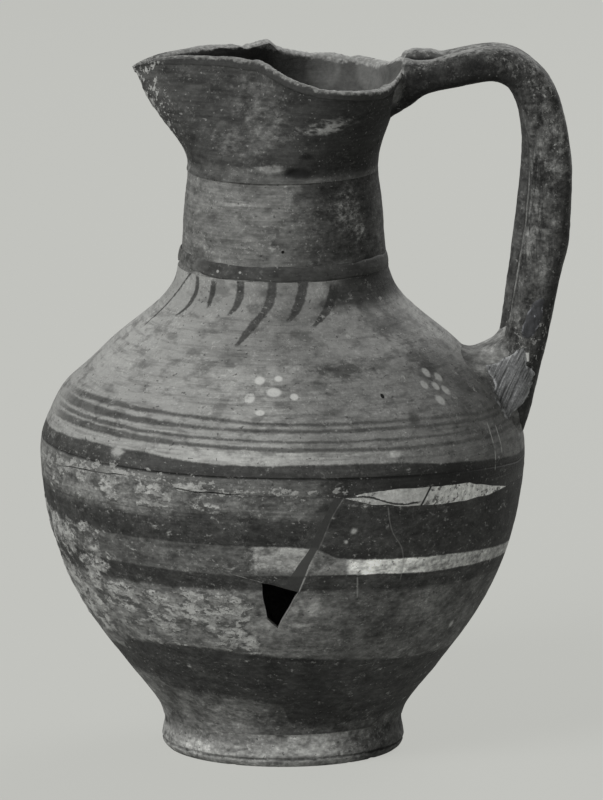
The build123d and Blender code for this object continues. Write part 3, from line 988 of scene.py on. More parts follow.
# Thin lines, as points of azimuth and height, half width, and how much thinner it is in front
line_edges = [
    ([(-80, 155.4), (-42, 156.1), (0, 154.0), (32, 153.2), (60, 150.2)], 0.90, 0.40),
    ([(-67, 152.7), (-37, 152.2), (4, 151.4), (32, 150.6), (60, 147.8)], 1.40, 0.80),
    ([(-73, 149.3), (-41, 148.7), (4, 147.4), (32, 146.4), (60, 143.6)], 0.75, 0.30),
    ([(-72, 145.9), (-50, 146.0), (-25, 145.2), (4, 144.2), (60, 141.0)], 1.35, 0.65),
]
# Edges of the bands, the groove and the cracks, as points of azimuth and height
dark_band_top = [(-71, 139.5), (-41, 140.4), (-14, 138), (15, 138.2), (44, 134.2), (75, 128.8)]
groove_line = [(-75, 133.3), (-20, 133), (4, 132.8), (29, 131.5), (75, 126)]
bedding = [(18, 124.8), (21.4, 123.9), (24.7, 121.8), (28.6, 120.1), (33, 120.0)]
belly_crack = [(-80, 125.2), (-61, 128.1), (-40, 129.6), (-20, 126.2), (-5, 126), (14, 124.6)]
belly_crack += [(24, 120), (32, 119.1)]
second_band_top = [(-77, 103.4), (-6, 104), (5, 103.6), (15, 98.2), (38, 95.5), (55, 93.7), (80, 90)]
second_band_low = [(-60, 92.6), (-21, 91), (16, 90.8), (40, 88.3), (55, 87.4), (81, 84.8)]
third_dark_low = [(-50, 83), (-5, 84), (9, 83.7), (32, 81.9), (80, 79)]
low_dark_top = [(-60, 49), (-32, 56), (1, 52.7), (19, 50.9), (48, 48), (80, 46)]
low_dark_low = [(-52, 37.2), (-47, 33), (-25, 32.4), (-1, 28), (6, 18.5), (39, 18.8), (67, 19.1)]
# Tongues, as points of azimuth and height, and half width
tongues = [
    ([(-60, 205.5), (-72, 192.4), (-74, 182)], 0.6),
    ([(-54, 204.6), (-52, 197), (-57, 188.6)], 1.0),
    ([(-40.3, 203.9), (-39.7, 193.6)], 1.25),
    ([(-23.6, 205.1), (-23.2, 198), (-26.5, 191.6)], 1.5),
    ([(-5.6, 206.1), (-6.6, 197.5), (-13, 189), (-18, 181.2)], 1.65),
    ([(11.2, 206.4), (9.6, 199), (2.6, 190)], 1.8),
    ([(29, 203.2), (25.4, 197), (14, 188)], 1.9),
]
# Dots of the rosettes, as azimuth, height, half width and half height
left_dots = [(-7.2, 169.4, 2.1, 1.4), (-1.3, 170.1, 1.7, 1.0), (-2.6, 165.3, 3.1, 1.6)]
left_dots += [(-9.6, 163.0, 2.1, 1.6), (3.4, 163.7, 1.7, 1.2), (-6.1, 158.1, 1.9, 1.0)]
right_dots = [(51, 168, 2.0, 1.7), (54.9, 165.4, 2.0, 1.6), (46.8, 164, 1.8, 1.5), (50.9, 162.8, 1.8, 1.5)]
right_dots += [(53.8, 160.7, 2.0, 1.7), (48.6, 158.0, 2.2, 1.8)]


def painted(name):
    """A surface with the noises that both halves of the body share, so that they match at the break."""
    at = Surface(name)
    at.streaks = cloud((30, 30, 1.1), 1, 3)
    at.mottle = cloud((17, 17, 10), 2, 4, 0.65)
    at.wander = cloud((10, 10, 6), 4, 2) * 0.35 + cloud(1.5, 5, 2) * 0.22
    at.high = at.z + at.wander
    return at


def belly_slip(at, tone):
    """Slip between the groove and the dark zone below it, across the break."""
    groove = number_at(at.turn, groove_line)
    below = fade(0.7, -0.4, at.z - groove + 0.3 * at.wander) * fade(15, 5, at.turn + 5 * at.mottle)
    tone = blend(below, tone, 90 + 16 * at.streaks + 20 * at.mottle + 14 * fade(-15, -45, at.turn))
    # Painted shadow along the groove
    tone = tone - 30 * fade(0.8, 0.1, abs(at.z - groove)) * fade(60, 20, at.turn)
    dark_zone = fade(120, 112, at.z + 3.5 * at.mottle + 1.5 * at.streaks)
    tone = blend(dark_zone * fade(15, 5, at.turn), tone, 55 + 6 * at.streaks + 8 * at.mottle)
    tone = blend(fade(124, 120, at.z) * fade(5, 15, at.turn), tone, 50 + 6 * at.mottle)
    pale_slip = at.stain(64, 124.5, 11, 2.2, 333, 0.5) * fade(-0.5, 0.3, at.streaks)
    return blend(pale_slip * 0.7, tone, 128)


def crusted(at, tone):
    """Lime crust over the tone: thin film, thick pale flakes, and holes down to the slip."""
    cover = kept_number("crust")
    flakes = cloud((2.6, 2.6, 1.8), 10, 5, 0.72)
    patchy = cloud((7, 7, 4), 17, 4, 0.65)
    at.crust = fade(0.20, 0.60, cover * 0.80 + 0.5 * flakes + 0.6 * patchy)
    tone = blend(at.crust * 0.78, tone, 150 + 34 * cloud(1.7, 11, 2, 0.7) + 50 * patchy)
    holes = fade(0.02, 0.22, cloud((6, 6, 2.8), 19, 4, 0.7)) * fade(0.05, 0.4, cover)
    tone = blend(holes * 0.62, tone, 62)
    crisp = cloud((2.8, 2.8, 1.9), 18, 3, 0.7)
    white = fade(0.46, 0.56, cover * 0.42 + 0.65 * crisp + 0.65 * patchy) * fade(0.05, 0.3, cover)
    tone = blend(white * 0.85, tone, 174)
    off_crack = abs(at.high - number_at(at.turn, belly_crack) - 1.5)
    flaky = 0.65 * crisp + 0.45 * patchy - 0.09 * off_crack + 0.08 * fade(5, -20, at.turn)
    flaky = fade(0.03, 0.13, flaky) * fade(34, 26, at.turn)
    at.relief = 0.06 * at.streaks + 0.10 * cloud(1.4, 3, 3, 0.7)
    at.relief = at.relief + 0.22 * at.crust * (1 + 0.8 * flakes) + 0.25 * white
    return blend(flaky * 0.75, tone, 160)


def shoulder_paint():
    """Dark slip in lines, tongues and a band, and white rosettes, on pale clay; worn and stained."""
    at = painted("painted_shoulder")
    z, turn, mottle = at.z, at.turn, at.mottle

    # Pale clay under a grey film that covers the middle and right of the shoulder
    loose_turn = turn + 11 * mottle
    film = most(fade(-6, 14, loose_turn), fade(-40, 4, loose_turn) * fade(168, 184, z + 3 * mottle))
    tone = 147 - 34 * film + 14 * fade(-44, -70, turn) * fade(158, 170, z)
    tone = tone - 16 * fade(185, 198, z) * (1 - film) + 22 * fade(145, 143, z) * inside(-26, 20, turn, 12)
    # Painted highlight: lighter high on the shoulder towards its right-hand contour
    tone = tone + 20 * fade(25, 50, turn) * fade(168, 178, z + 4 * mottle)
    tone = tone + 34 * fade(60, 76, turn) * fade(156, 168, z + 6 * mottle)
    tone = at.stained(tone, ((-18, 176, 8, 3.0, 301), 0.55, 98), ((21, 172.5, 13, 3.2, 302, 0.9), 0.7, 52),
                      ((53, 172, 7, 9, 334, 0.9), 0.45, 60), ((44, 188, 5, 7, 335, 0.8), 0.4, 56),
                      ((52, 185, 9, 4, 303), 0.5, 66), ((64, 161, 8, 5, 304), 0.5, 70),
                      ((36, 153, 3.5, 2.4, 305), 0.7, 62))
    chalk = at.stains((-10, 177.5, 7, 2.4, 306), (-19, 171, 6, 2.0, 307), (-30, 176, 5, 3.5, 308))
    tone = blend(chalk * fade(0.0, 0.5, cloud((3.2, 3.2, 1.5), 6, 3, 0.65)) * 0.75, tone, 182)
    tone = blend(at.stain(28, 141, 3.2, 2.2, 309) * 0.7, tone, 165)
    smear = fade(14, 34, turn + 9 * mottle - 1.1 * (z - 198)) * fade(190, 198, z + 3 * mottle)
    tone = blend(smear * 0.85, tone, 52 + 16 * at.streaks)
    # Painted light: brighter towards the handle side, where the light falls off
    tone = tone * (1 + 0.12 * fade(4, 20, turn) * fade(60, 44, turn))
    drawn = fade(-0.1, 0.6, cloud((26, 26, 1.6), 12, 4, 0.7)) * fade(200, 186, z)
    tone = tone * (1 - 0.16 * drawn)

    # Thin lines around the shoulder
    worn = fade(-1.1, -0.4, cloud((20, 20, 2.4), 7, 3) + 0.4 * cloud(1.4, 3, 2)) * fade(-86, -66, turn)
    worn = worn * (0.78 - 0.30 * fade(14, 50, turn) + 0.14 * mottle)
    for points, half_width, less in line_edges:
        wide = half_width - less * fade(-55, -18, turn) + 0.22 * at.streaks
        cover = fade(wide + 0.55, wide - 0.45, abs(at.high - number_at(turn, points)))
        tone = blend(cover * worn, tone, 70 + 14 * at.streaks)

    # Tongues hanging from the dark ring at the neck
    brush = 0.40 * cloud(2.2, 8, 3)
    for points, half_width in tongues:
        bottom = min(height for azimuth, height in points)
        tip = fade(bottom - 0.4, bottom + 5.5, z) * 0.5 + 0.5
        cover = at.stroke(points, (tip * half_width) + brush, 0.45)
        tone = blend(cover * 0.88, tone, 60 + 10 * at.streaks)

    # The first dark band, down to the groove
    band = fade(0.6, -0.5, at.high - number_at(turn, dark_band_top))
    groove = number_at(turn, groove_line)
    slip = 62 + 7 * at.streaks - 12 * fade(3.5, 0, z - groove) - 20 * fade(14, 50, turn)
    rubbed = fade(0.15, 0.5, cloud((6, 6, 2.6), 13, 5, 0.7)) * fade(-30, -60, turn)
    tone = belly_slip(at, blend(band * (1 - 0.6 * rubbed), tone, slip))
    tone = aged(tone, 320, 0.8, 0.3 + 0.45 * fade(-30, 0, turn) + 0.7 * band)
    # Painted shade: the shoulder darker towards the handle side
    tone = tone * (1 - 0.09 * fade(24, 50, turn))

    # Rosettes of white dots, then the crust, cracks and pits over everything, with painted shade in the pit
    thin = cloud((2.6, 2.6, 1.8), 10, 5, 0.72)
    dots = most(*[at.spot(*dot, 0.28 + 0.1 * thin) for dot in left_dots])
    tone = blend(dots * fade(-1.3, -0.4, thin) * 0.9, tone, 192 + 14 * thin)
    dots_right = most(*[at.spot(*dot, 0.3 + 0.1 * thin) for dot in right_dots])
    tone = blend(dots_right * fade(-1.0, -0.1, thin) * 0.85, tone, 176 + 20 * thin)
    tone = crusted(at, tone)
    joins = most(at.stroke([(62.2, 146.1), (61.2, 134), (60.5, 126.9)], 0.32, 0.3),
                 at.stroke([(65.9, 144), (64.6, 133)], 0.32, 0.3))
    joins = most(joins, at.stroke([(56, 123.2), (63, 123.4), (74, 123.4)], 0.9, 0.8) * 0.8)
    joins = joins * fade(-0.7, 0.0, cloud(3, 14, 2))
    pale_spots = most(joins, at.stain(-43.6, 138.7, 3.6, 2.6, 315, 0.6) * 0.9)
    tone = blend(pale_spots * at.front, tone, 160)
    # Painted shade in a pit
    shaded_pit = at.spot(30.2, 162.2, 0.8, 0.8) * at.front
    tone = blend(shaded_pit, tone, 15)
    relief = at.relief + 0.10 * dots - 0.5 * shaded_pit - 0.40 * fade(0.7, 0.0, abs(z - groove))
    return at.finish(tone, relief, 0.82 - 0.14 * band * (1 - at.crust))


def bowl_paint():
    """Bands of dark slip below the break, with a reserved band, worn and crusted; a painted highlight low on
    the left and painted light towards the handle side.
    """
    at = painted("painted_bowl")
    z, turn, mottle, streaks = at.z, at.turn, at.mottle, at.streaks
    tone = belly_slip(at, 62 - 20 * fade(14, 50, turn))
    tone = blend(at.stain(-43, 104, 14, 8, 310) * 0.6, tone, 48)

    # Reserved band, bright only where the slip is gone
    low_edge = number_at(turn, second_band_low)
    second = inside(low_edge, number_at(turn, second_band_top), at.high, 0.45)
    grainy = cloud(2.2, 9, 4, 0.7)
    bright = fade(15.2, 16.8, turn + 0.9 * at.wander)
    bright_tone = 200 + 7 * grainy - fade(33, 44, turn + 4 * mottle) * (50 - 46 * grainy)
    patch = fade(-9.5, -5.0, turn + 3.2 * grainy) * fade(10, 6, turn)
    reserved = 84 + 12 * mottle + 6 * streaks
    reserved = blend(patch * fade(91.5, 96, z + 1.5 * grainy), reserved, 148 + 14 * grainy)
    reserved = blend(fade(6, 9, turn), reserved, 108 + 16 * grainy)
    tone = blend(second, tone, blend(bright, reserved, bright_tone))
    third = fade(0.6, -0.5, at.high - low_edge)
    tone = blend(third, tone, 54 + 6 * streaks + 5 * mottle)

    # Worn zone beside the hole, with plain slip to the right, and the lowest dark band
    worn_zone = fade(1.4, -1.0, at.high - number_at(turn, third_dark_low))
    plain = fade(7, 21, turn + 6 * mottle)
    worn_tone = blend(plain, 108 + 36 * mottle + 12 * streaks, 78 + 14 * mottle)
    tone = blend(worn_zone, tone, worn_tone)
    around_hole = at.stains((-12, 76, 6, 8, 311), (6.5, 76, 6, 6, 312))
    tone = blend(around_hole * 0.8, tone, 146)
    low_dark = fade(1.0, -0.8, at.high - number_at(turn, low_dark_top))
    tone = blend(low_dark, tone, 57 + 5 * streaks + 4 * mottle - 8 * fade(-10, 15, turn))
    # Mottled zone below the lowest dark band; its lighter left side is a painted highlight
    bottom = fade(1.2, -1.0, at.high + 1.6 * grainy - number_at(turn, low_dark_low))
    tone = blend(bottom, tone, 96 + 34 * mottle + 8 * streaks + 16 * grainy - 30 * fade(-16, 8, turn))
    # Pale patches low on the left: painted highlight, broken up by the grain
    low_left_highlight = at.stains((-30, 25, 10, 5, 331, 0.9), (-17, 21, 8, 5, 332, 0.9))
    tone = blend(low_left_highlight * fade(-0.4, 0.4, grainy) * 0.7, tone, 136)
    tone = blend(at.stroke([(-1.3, 66.3), (-5.4, 36.4)], 1.8, 1.5), tone, tone - 10)
    for azimuth, height in ((4.8, 74.7), (-6.4, 74.2)):
        tone = blend(at.stain(azimuth, height, 1.5, 2.8, 313, 0.35) * 0.5, tone, 58)
    # Painted light: brighter towards the handle side, where the light falls off
    tone = tone * (1 + 0.20 * fade(8, 24, turn) * fade(64, 46, turn))
    tone = crusted(at, aged(tone, 320, 0.9, 1.8))

    # Joins and chips that show pale
    diagonal = [(14.4, 124.6), (11.4, 115.5), (9.1, 104.7), (7.1, 97.3), (5.3, 89.4), (4.1, 84)]
    joins = most((1 - 0.65 * fade(92, 100, z)) * at.stroke(diagonal, 0.30, 0.3),
                 at.stroke([(-4.6, 88), (-12, 91.4)], 0.3, 0.2),
                 0.45 * at.stroke([(25.5, 119.4), (26.5, 110.7), (30.7, 97.2), (30.9, 86.5)], 0.25, 0.2),
                 0.6 * at.stroke([(18.8, 89.7), (19.5, 80.5)], 0.3, 0.2))
    tone = blend(joins * at.front * fade(-0.7, 0.0, cloud(3, 14, 2)), tone, 152)
    pale_spots = at.stains((17.1, 110.2, 1.9, 1.5, 314, 0.4), (15.3, 105.6, 1.2, 1.1, 314, 0.4),
                           (58.3, 59.9, 1.8, 1.8, 314, 0.4))
    tone = blend(pale_spots * at.front * 0.9, tone, 168)
    return at.finish(tone, at.relief, 0.80)


def raw_clay():
    """Broken edges, and the unpainted inside: dusty clay with grits."""
    at = Surface("raw_clay")
    grits = cloud(1.5, 21, 3)
    tone = 132 + 14 * cloud(9, 22, 3) + 14 * grits
    return at.finish(blend(specks(2.6, 23) * 0.8, tone, 60), 0.18 * grits, 0.9)


def pale_filling():
    """Grainy plaster in the belly crack, with dark cracks and one smoother, lighter stretch."""
    at = Surface("pale_filling")
    grains = cloud(2.4, 31, 4, 0.7)
    slant = at.turn - 0.35 * (at.z - 122)
    smooth = inside(21, 35.6, slant, 0.5)
    tone = 172 + 70 * grains + 46 * fade(28, 46, at.turn)
    tone = blend(fade(0.15, 0.35, cloud((3.0, 3.0, 2.0), 32, 3, 0.7)) * 0.75, tone, 80)
    tone = blend(smooth * 0.8, tone, 184 + 34 * grains + 24 * cloud(6, 33, 3, 0.6))
    bed = at.z - number_at(at.turn, bedding) + 0.5 * grains
    tone = blend(fade(0.55, 0.2, abs(bed)) * fade(35, 33, at.turn) * 0.85, tone, 42)
    tone = blend(fade(0.45, 0.1, abs(slant - 35.8)), tone, 45)
    return at.finish(tone, 0.30 * grains * (1 - 0.7 * smooth), 0.9)


def toned_filling():
    """The restorer's filling, toned down smoothly to the slip beside it."""
    at = Surface("toned_filling")
    tone = 58 + 4 * cloud(7, 41, 3) + 4 * cloud(1.4, 42, 2)
    tone = blend(inside(91, 103.5, at.z, 0.6), tone, 70)
    return at.finish(tone, 0.05 * cloud(1.6, 43, 2), 0.75)


def neck_paint():
    """Thin worn slip with turning streaks, blotched dark towards the handle."""
    at = Surface("worn_neck")
    streaks = cloud((22, 22, 1.0), 51, 4)
    mottle = cloud((13, 13, 8), 52, 4, 0.65)
    tone = 104 + 16 * streaks + 10 * mottle
    dark = fade(-2, 34, at.turn + 15 * mottle + 0.45 * (228 - at.z))
    tone = blend(dark * 0.95, tone, 58 + 9 * streaks)
    dark_top = fade(6, 20, at.turn + 8 * mottle) * fade(226, 236, at.z + 5 * mottle)
    tone = blend(dark_top * 0.8, tone, 56 + 8 * streaks)
    rim_light = fade(56, 74, at.turn + 6 * mottle) * inside(214, 236, at.z, 4)
    tone = blend(rim_light * 0.5, tone, 104)
    bare = at.stains((41, 233, 8, 9, 316, 0.9), (50, 224, 6, 5, 317, 0.9))
    bare = bare * fade(-0.35, 0.35, cloud((2.4, 2.4, 1.8), 54, 4, 0.7))
    tone = blend(bare * 0.75, tone, 146)
    rubbed = inside(235.9, 237.4, at.z + 0.8 * mottle, 0.5) * fade(-52, -30, at.turn) * fade(14, -4, at.turn)
    tone = tone + 26 * rubbed * fade(-0.5, 0.2, streaks + 0.5 * mottle)
    tone = blend(at.stain(-58, 214, 7, 4, 318, 0.8) * 0.5, tone, 60)
    tone = aged(tone, 330, 1.1, 1.1 + 1.2 * fade(0, 30, at.turn))
    # Painted shade in a pit
    shaded_pit = at.spot(0.1, 217.7, 0.6, 0.6) * at.front
    tone = blend(shaded_pit, tone, 12)
    return at.finish(tone, 0.10 * streaks + 0.10 * cloud(1.3, 53, 3, 0.7) - 0.6 * shaded_pit, 0.85)


def ring_paint():
    """Dark slip on the neck's ring, paler where worn on the spout side, with white dots in front."""
    at = Surface("ring_slip")
    streaks = cloud((9, 9, 2), 61, 3)
    tone = 64 + 9 * streaks
    worn = fade(-48, -64, at.turn) * fade(-0.4, 0.3, cloud(4, 63, 4, 0.65))
    tone = blend(worn * 0.8, tone, 112)
    tone = aged(tone, 340, 0.8)
    dots = most(at.spot(-37.9, 208.2, 0.7, 0.6, 0.4), at.spot(-23.9, 208.6, 0.6, 0.5, 0.4)) * at.front
    tone = blend(dots * 0.8, tone, 170)
    return at.finish(tone, 0.12 * streaks, 0.72)


def mouth_paint():
    """Slip on the mouth, a darker smooth lip with a worn pale edge, and lime at the spout."""
    at = Surface("mouth_slip")
    streaks = cloud((20, 20, 1.3), 71, 4)
    mottle = cloud((12, 12, 9), 72, 4, 0.65)
    below_edge = kept_number("below_edge")
    inner_share = kept_number("inside")
    tone = 62 + 13 * streaks + 28 * mottle
    tone = tone + 22 * fade(254, 248, at.z)
    dark = fade(-8, 22, at.turn + 13 * mottle) * fade(246, 250, at.z)
    tone = blend(dark * 0.9, tone, 44 + 7 * streaks)
    rubbed = at.stains((-16, 275, 15, 6, 319, 0.9), (-30, 284, 12, 5, 320, 0.9),
                       (-9, 266, 9, 5, 321, 0.9), (-30, 262, 14, 6, 322, 1.0))
    tone = tone + 34 * rubbed * fade(-0.5, 0.4, cloud((5, 5, 2.4), 74, 4, 0.7))
    patch = at.stain(25, 270.5 + 0.16 * (at.turn - 25), 10, 3.6, 323, 0.8)
    patch = patch * fade(-0.5, 0.1, cloud((5, 5, 1.8), 75, 3))
    tone = blend(patch * 0.9, tone, 126)
    tone = at.stained(tone, ((-6.5, 252.0, 6.5, 2.2, 324, 0.6), 0.95, 134),
                      ((14, 257.6, 3, 1.6, 325, 0.6), 0.9, 24))
    tone = aged(tone, 350, 1.0)
    lip = fade(4.4, 3.7, below_edge + 0.3 * cloud(1.4, 73, 2))
    tone = blend(lip * (1 - inner_share), tone, 52 + 9 * streaks + 8 * cloud(1.4, 73, 2))
    # Inside the mouth, darker towards the spout: painted shade
    inner = 76 + 14 * mottle + 10 * cloud(1.6, 82, 3) - 32 * fade(0, -22, at.turn)
    for x in (17, 38):
        off_x = (at.x - x) * (1 / 7.5)
        off_z = (at.z - 281) * (1 / 8.5)
        off = off_x * off_x + off_z * off_z + 0.35 * mottle
        inner = inner + 22 * fade(1.3, 0.5, off) * fade(0, 10, at.y)
    tone = blend(inner_share, tone, inner)
    edge = fade(1.9, 0.3, below_edge + 1.6 * cloud(2.6, 76, 3, 0.65) - 0.3 * fade(0, 10, at.y))
    edge_tone = 130 + 50 * cloud(1.8, 77, 2, 0.65) + 24 * fade(0, 10, at.y) + 34 * fade(38, 48, at.x)
    tone = blend(edge * 0.85, tone, edge_tone)
    spout = fade(-36, -58, at.x + 0.30 * (at.z - 270))
    lime = fade(0.30, 0.42, 0.34 * spout + 0.7 * cloud((2.2, 2.2, 3.4), 78, 3, 0.7)) * fade(0.1, 0.5, spout)
    tone = blend(lime * 0.85, tone, 162)
    # Painted shadow in the potter's finger dent
    dent = at.stain(9.0, dent_height, 6.4, 2.5, 326, 0.3) * at.front
    tone = blend(dent, tone, 24)
    # Painted shade in a pit
    shaded_pit = at.spot(68.3, 259.6, 1.0, 1.0) * at.front
    tone = blend(shaded_pit, tone, 12)
    relief = 0.08 * streaks + 0.10 * cloud(1.3, 79, 3, 0.7) + 0.35 * lime - 0.5 * shaded_pit
    return at.finish(tone, relief, 0.84 - 0.14 * lip)


def foot_paint():
    """Bare clay of the foot, stained and scuffed, darker towards the handle."""
    at = Surface("scuffed_foot")
    mottle = cloud((9, 9, 6), 81, 5, 0.68)
    fine = cloud(2.0, 82, 4, 0.7)
    tone = 140 + 62 * mottle + 26 * fine
    stained = inside(9.6, 16, at.z + 3.4 * mottle, 1.4) * fade(2, -22, at.turn)
    tone = blend(stained * 0.7, tone, 100 + 30 * mottle)
    pale = inside(-16, 28, at.turn + 8 * mottle, 9) * inside(4.5, 9.5, at.z + 0.8 * mottle, 1.5)
    tone = blend(pale * 0.75, tone, 158 + 12 * fine)
    tone = blend(fade(3.0, 2.2, at.z + 0.5 * mottle) * 0.8, tone, 132 + 22 * fine)
    tone = blend(fade(30, 50, at.turn + 22 * mottle) * 0.8, tone, 66 + 16 * fine)
    # Painted shade along the thin groove
    tone = tone - 42 * fade(0.9, 0.15, abs(at.z - groove_height - 0.5 * mottle)) * fade(-0.9, -0.1, mottle)
    tone = aged(tone, 360, 1.3, 1.6)
    return at.finish(tone, 0.14 * fine + 0.10 * mottle, 0.92, specular=0.15)


def handle_paint():
    """Dark slip on the rolls, rubbed along the inner arris and speckled with lime on the outer bend; painted
    highlights on the arris and the top of the bend, painted shade under the bend, down the outer side, along
    the inner edge and in the slot.
    """
    at = Surface("handle_slip")
    outwards = kept_number("outwards")
    along = kept_number("along")
    near = at.front
    mottle = cloud((8, 8, 12), 91, 4, 0.65)
    strokes = cloud((2.2, 2.2, 16), 98, 3, 0.6)
    fine = cloud((1.1, 1.1, 1.6), 97, 3, 0.7)
    tone = 66 + 44 * mottle + 26 * strokes + 26 * fine
    tone = blend((1 - near) * 0.8, tone, 72 + 18 * mottle + 8 * strokes)
    arm = fade(56, 76, along) * (1 - fade(0.3, 0.7, outwards))
    tone = blend(arm * 0.85, tone, 34 + 16 * mottle + 10 * fine)
    # Painted shade under the upper bend
    under = fade(56, 76, along) * fade(-0.05, -0.5, outwards + 0.2 * mottle)
    tone = blend(under * 0.8, tone, 24)
    # Painted highlight along the top of the upper bend
    top = fade(0.80, 0.95, outwards + 0.10 * strokes) * fade(58, 76, along)
    tone = blend(top * 0.8, tone, 140 + 30 * strokes)
    rubbed = inside(-0.85, -0.15, outwards + 0.22 * mottle, 0.25) * inside(-30, 42, along, 9) * near
    tone = blend(rubbed * fade(-0.04, 0.22, cloud((2.4, 2.4, 8), 93, 4, 0.7)) * 0.7, tone, 116 + 26 * fine)
    # Painted highlight along the near roll's inner arris
    arris_highlight = inside(-0.955, -0.86, outwards + 0.03 * strokes, 0.05) * fade(40, 22, along) * near
    tone = blend(arris_highlight * fade(-0.9, 0.1, cloud((5, 5, 11), 99, 3)) * 0.8, tone, 138)
    # Painted shade along the inner edge, beside the arris
    tone = blend(fade(-0.93, -1.0, outwards) * near * 0.7, tone, 30)
    bend = inside(14, 78, along, 12) * fade(-0.7, 0.4, outwards)
    tone = blend(bend * fade(-0.02, 0.20, cloud((4, 4, 5), 95, 5, 0.75)) * 0.6, tone, 118 + 40 * fine)
    lime = most(bend, 0.75 * fade(0.35, 0.8, outwards) * fade(-45, -5, along))
    lime = lime * fade(0.24, 0.40, cloud((2.2, 2.2, 2.6), 94, 4, 0.75))
    scraped = inside(-11, -4.5, along + 1.2 * strokes, 1.2)
    scraped = scraped * inside(-0.86, -0.05, outwards + 0.1 * strokes, 0.1)
    tone = blend(scraped * near * fade(-0.7, 0.3, cloud((0.9, 0.9, 7), 100, 3)) * 0.85, tone, 136)
    # Painted shade down the outer side of the lower roll
    tone = blend(fade(0.2, 0.7, outwards) * fade(34, 6, along) * 0.8, tone, 42 + 14 * mottle)
    tone = aged(tone, 370, 1.0, 2.0)
    # Painted shade in the slot between the rolls beside the rim
    slot = fade(2.4, 1.0, abs(at.y)) * inside(52.5, 63, at.x, 1.5) * fade(268, 276, at.z)
    tone = blend(slot * 0.8, tone, 22)
    tone = blend(lime * 0.85, tone, 158)
    plaster_bits = fade(0.28, 0.42, cloud((1.6, 1.6, 2.2), 96, 2, 0.6)) * inside(164, 188, at.z, 6) * near
    tone = blend(plaster_bits * fade(92, 99, at.x) * 0.7, tone, 150)
    bare_chip = inside(100.8, 103.0, at.x, 0.3) * inside(166.6, 170.4, at.z, 0.3) * near
    tone = blend(bare_chip, tone, 192)
    return at.finish(tone, 0.10 * strokes + 0.12 * cloud(1.3, 92, 3, 0.7) + 0.25 * lime, 0.78)


def root_clay_paint():
    """Clay smoothed into the angle, dusty, in the shoulder's own tones."""
    at = Surface("smoothed_root_clay")
    fine = cloud(2.0, 101, 4, 0.7)
    mottle = cloud(8, 102, 4, 0.65)
    tone = 130 + 34 * mottle + 14 * fine
    tone = blend(fade(90, 78, at.x + 4 * mottle) * 0.6, tone, 92)
    tone = blend(fade(168, 158, at.z + 3 * mottle), tone, 88 + 20 * mottle)
    return at.finish(aged(tone, 380, 1.2, 1.6), 0.12 * fine, 0.9)


def top_joint_paint():
    """Slip where the handle meets the mouth, rubbed pale on the rim's edge."""
    at = Surface("smoothed_top_slip")
    fine = cloud(2.0, 131, 4, 0.7)
    mottle = cloud((8, 8, 10), 132, 4, 0.65)
    tone = 27 + 14 * mottle + 6 * fine
    rim = fade(54, 46, at.x) * fade(272, 279, at.z + 1.5 * mottle)
    tone = blend(rim * 0.8, tone, 122 + 24 * fine)
    return at.finish(aged(tone, 390, 0.3, 1.4), 0.10 * fine, 0.82)


def plaster_paint():
    """Rough plaster, combed while wet, with a pale broken edge; darker in the grooves and paler on the
    ridges.
    """
    at = Surface("striated_plaster")
    groove = kept_number("stroke")
    inset = kept_number("inset")
    fine = cloud(1.0, 111, 4, 0.7)
    beside = at.z * math.cos(stroke_way) - at.x * math.sin(stroke_way)
    place = made("CombineXYZ", [("X", at.x * 0.07), ("Y", beside * 1.2), ("Z", at.z * 0.07)])
    scratch = noise(place, 3.0, 0.6)
    tone = 106 + 26 * groove + 34 * scratch + 30 * fine
    tone = blend(fade(-0.15, -0.45, scratch + 0.4 * groove) * 0.75, tone, 56)
    tone = blend(fade(0.35, 0.6, scratch + 0.5 * fine) * 0.7, tone, 158)
    pale_edge = fade(1.3, 0.4, inset + 0.6 * fine) * fade(-0.3, 0.2, cloud(3, 112, 3))
    tone = blend(pale_edge * 0.8, tone, 174)
    return at.finish(tone, 0.14 * fine + 0.22 * scratch, 0.9, tint=(0.985, 1.0, 1.0))


def skim_paint():
    """A smooth bluish skim that ends in a pale broken line."""
    at = Surface("plaster_skim")
    inset = kept_number("inset")
    fine = cloud(1.3, 122, 4, 0.7)
    tone = 58 + 20 * cloud((3, 3, 8), 121, 3) + 12 * fine
    rim = fade(0.9, 0.3, inset + 0.3 * fine) * fade(-0.1, 0.4, cloud(3, 123, 3))
    tone = blend(rim * 0.8, tone, 132)
    tone = blend(specks((1.5, 1.5, 2.2), 125) * 0.7, tone, 150)
    return at.finish(tone, 0.05 * fine, 0.6, tint=(0.97, 0.99, 1.06))


shoulder_finish = shoulder_paint()
bowl_finish = bowl_paint()
clay_finish = raw_clay()
handle_finish = handle_paint()


def finish_piece(piece, nodes, slot, *finishes):
    """Hides the piece's nodes, hangs it from the root and gives it its finishes; broken and inner faces take
    the second.
    """
    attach(piece, "root")
    if nodes:
        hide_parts(*nodes)
    piece.data.shade_smooth()
    piece.data.set_sharp_from_angle(angle=math.radians(48))
    piece.data.materials.clear()
    for finish in finishes:
        piece.data.materials.append(finish)
    if len(finishes) > 1:
        normals = vectors_of(piece.data.polygons, "normal")
        centres = vectors_of(piece.data.polygons, "center") / MM
        out_r = np.interp(centres[:, 2], profile_heights, profile_out_r)
        out_z = np.interp(centres[:, 2], profile_heights, profile_out_z)
        radius = np.hypot(centres[:, 0], centres[:, 1])
        facing = (normals[:, 0] * centres[:, 0] + normals[:, 1] * centres[:, 1]) / radius * out_r
        facing += normals[:, 2] * out_z
        inner = radius < np.interp(centres[:, 2], profile_heights, profile_radii) - 0.6 * wall
        piece.data.polygons.foreach_set("material_index", ((facing < 0.45) | inner).astype(np.int32))


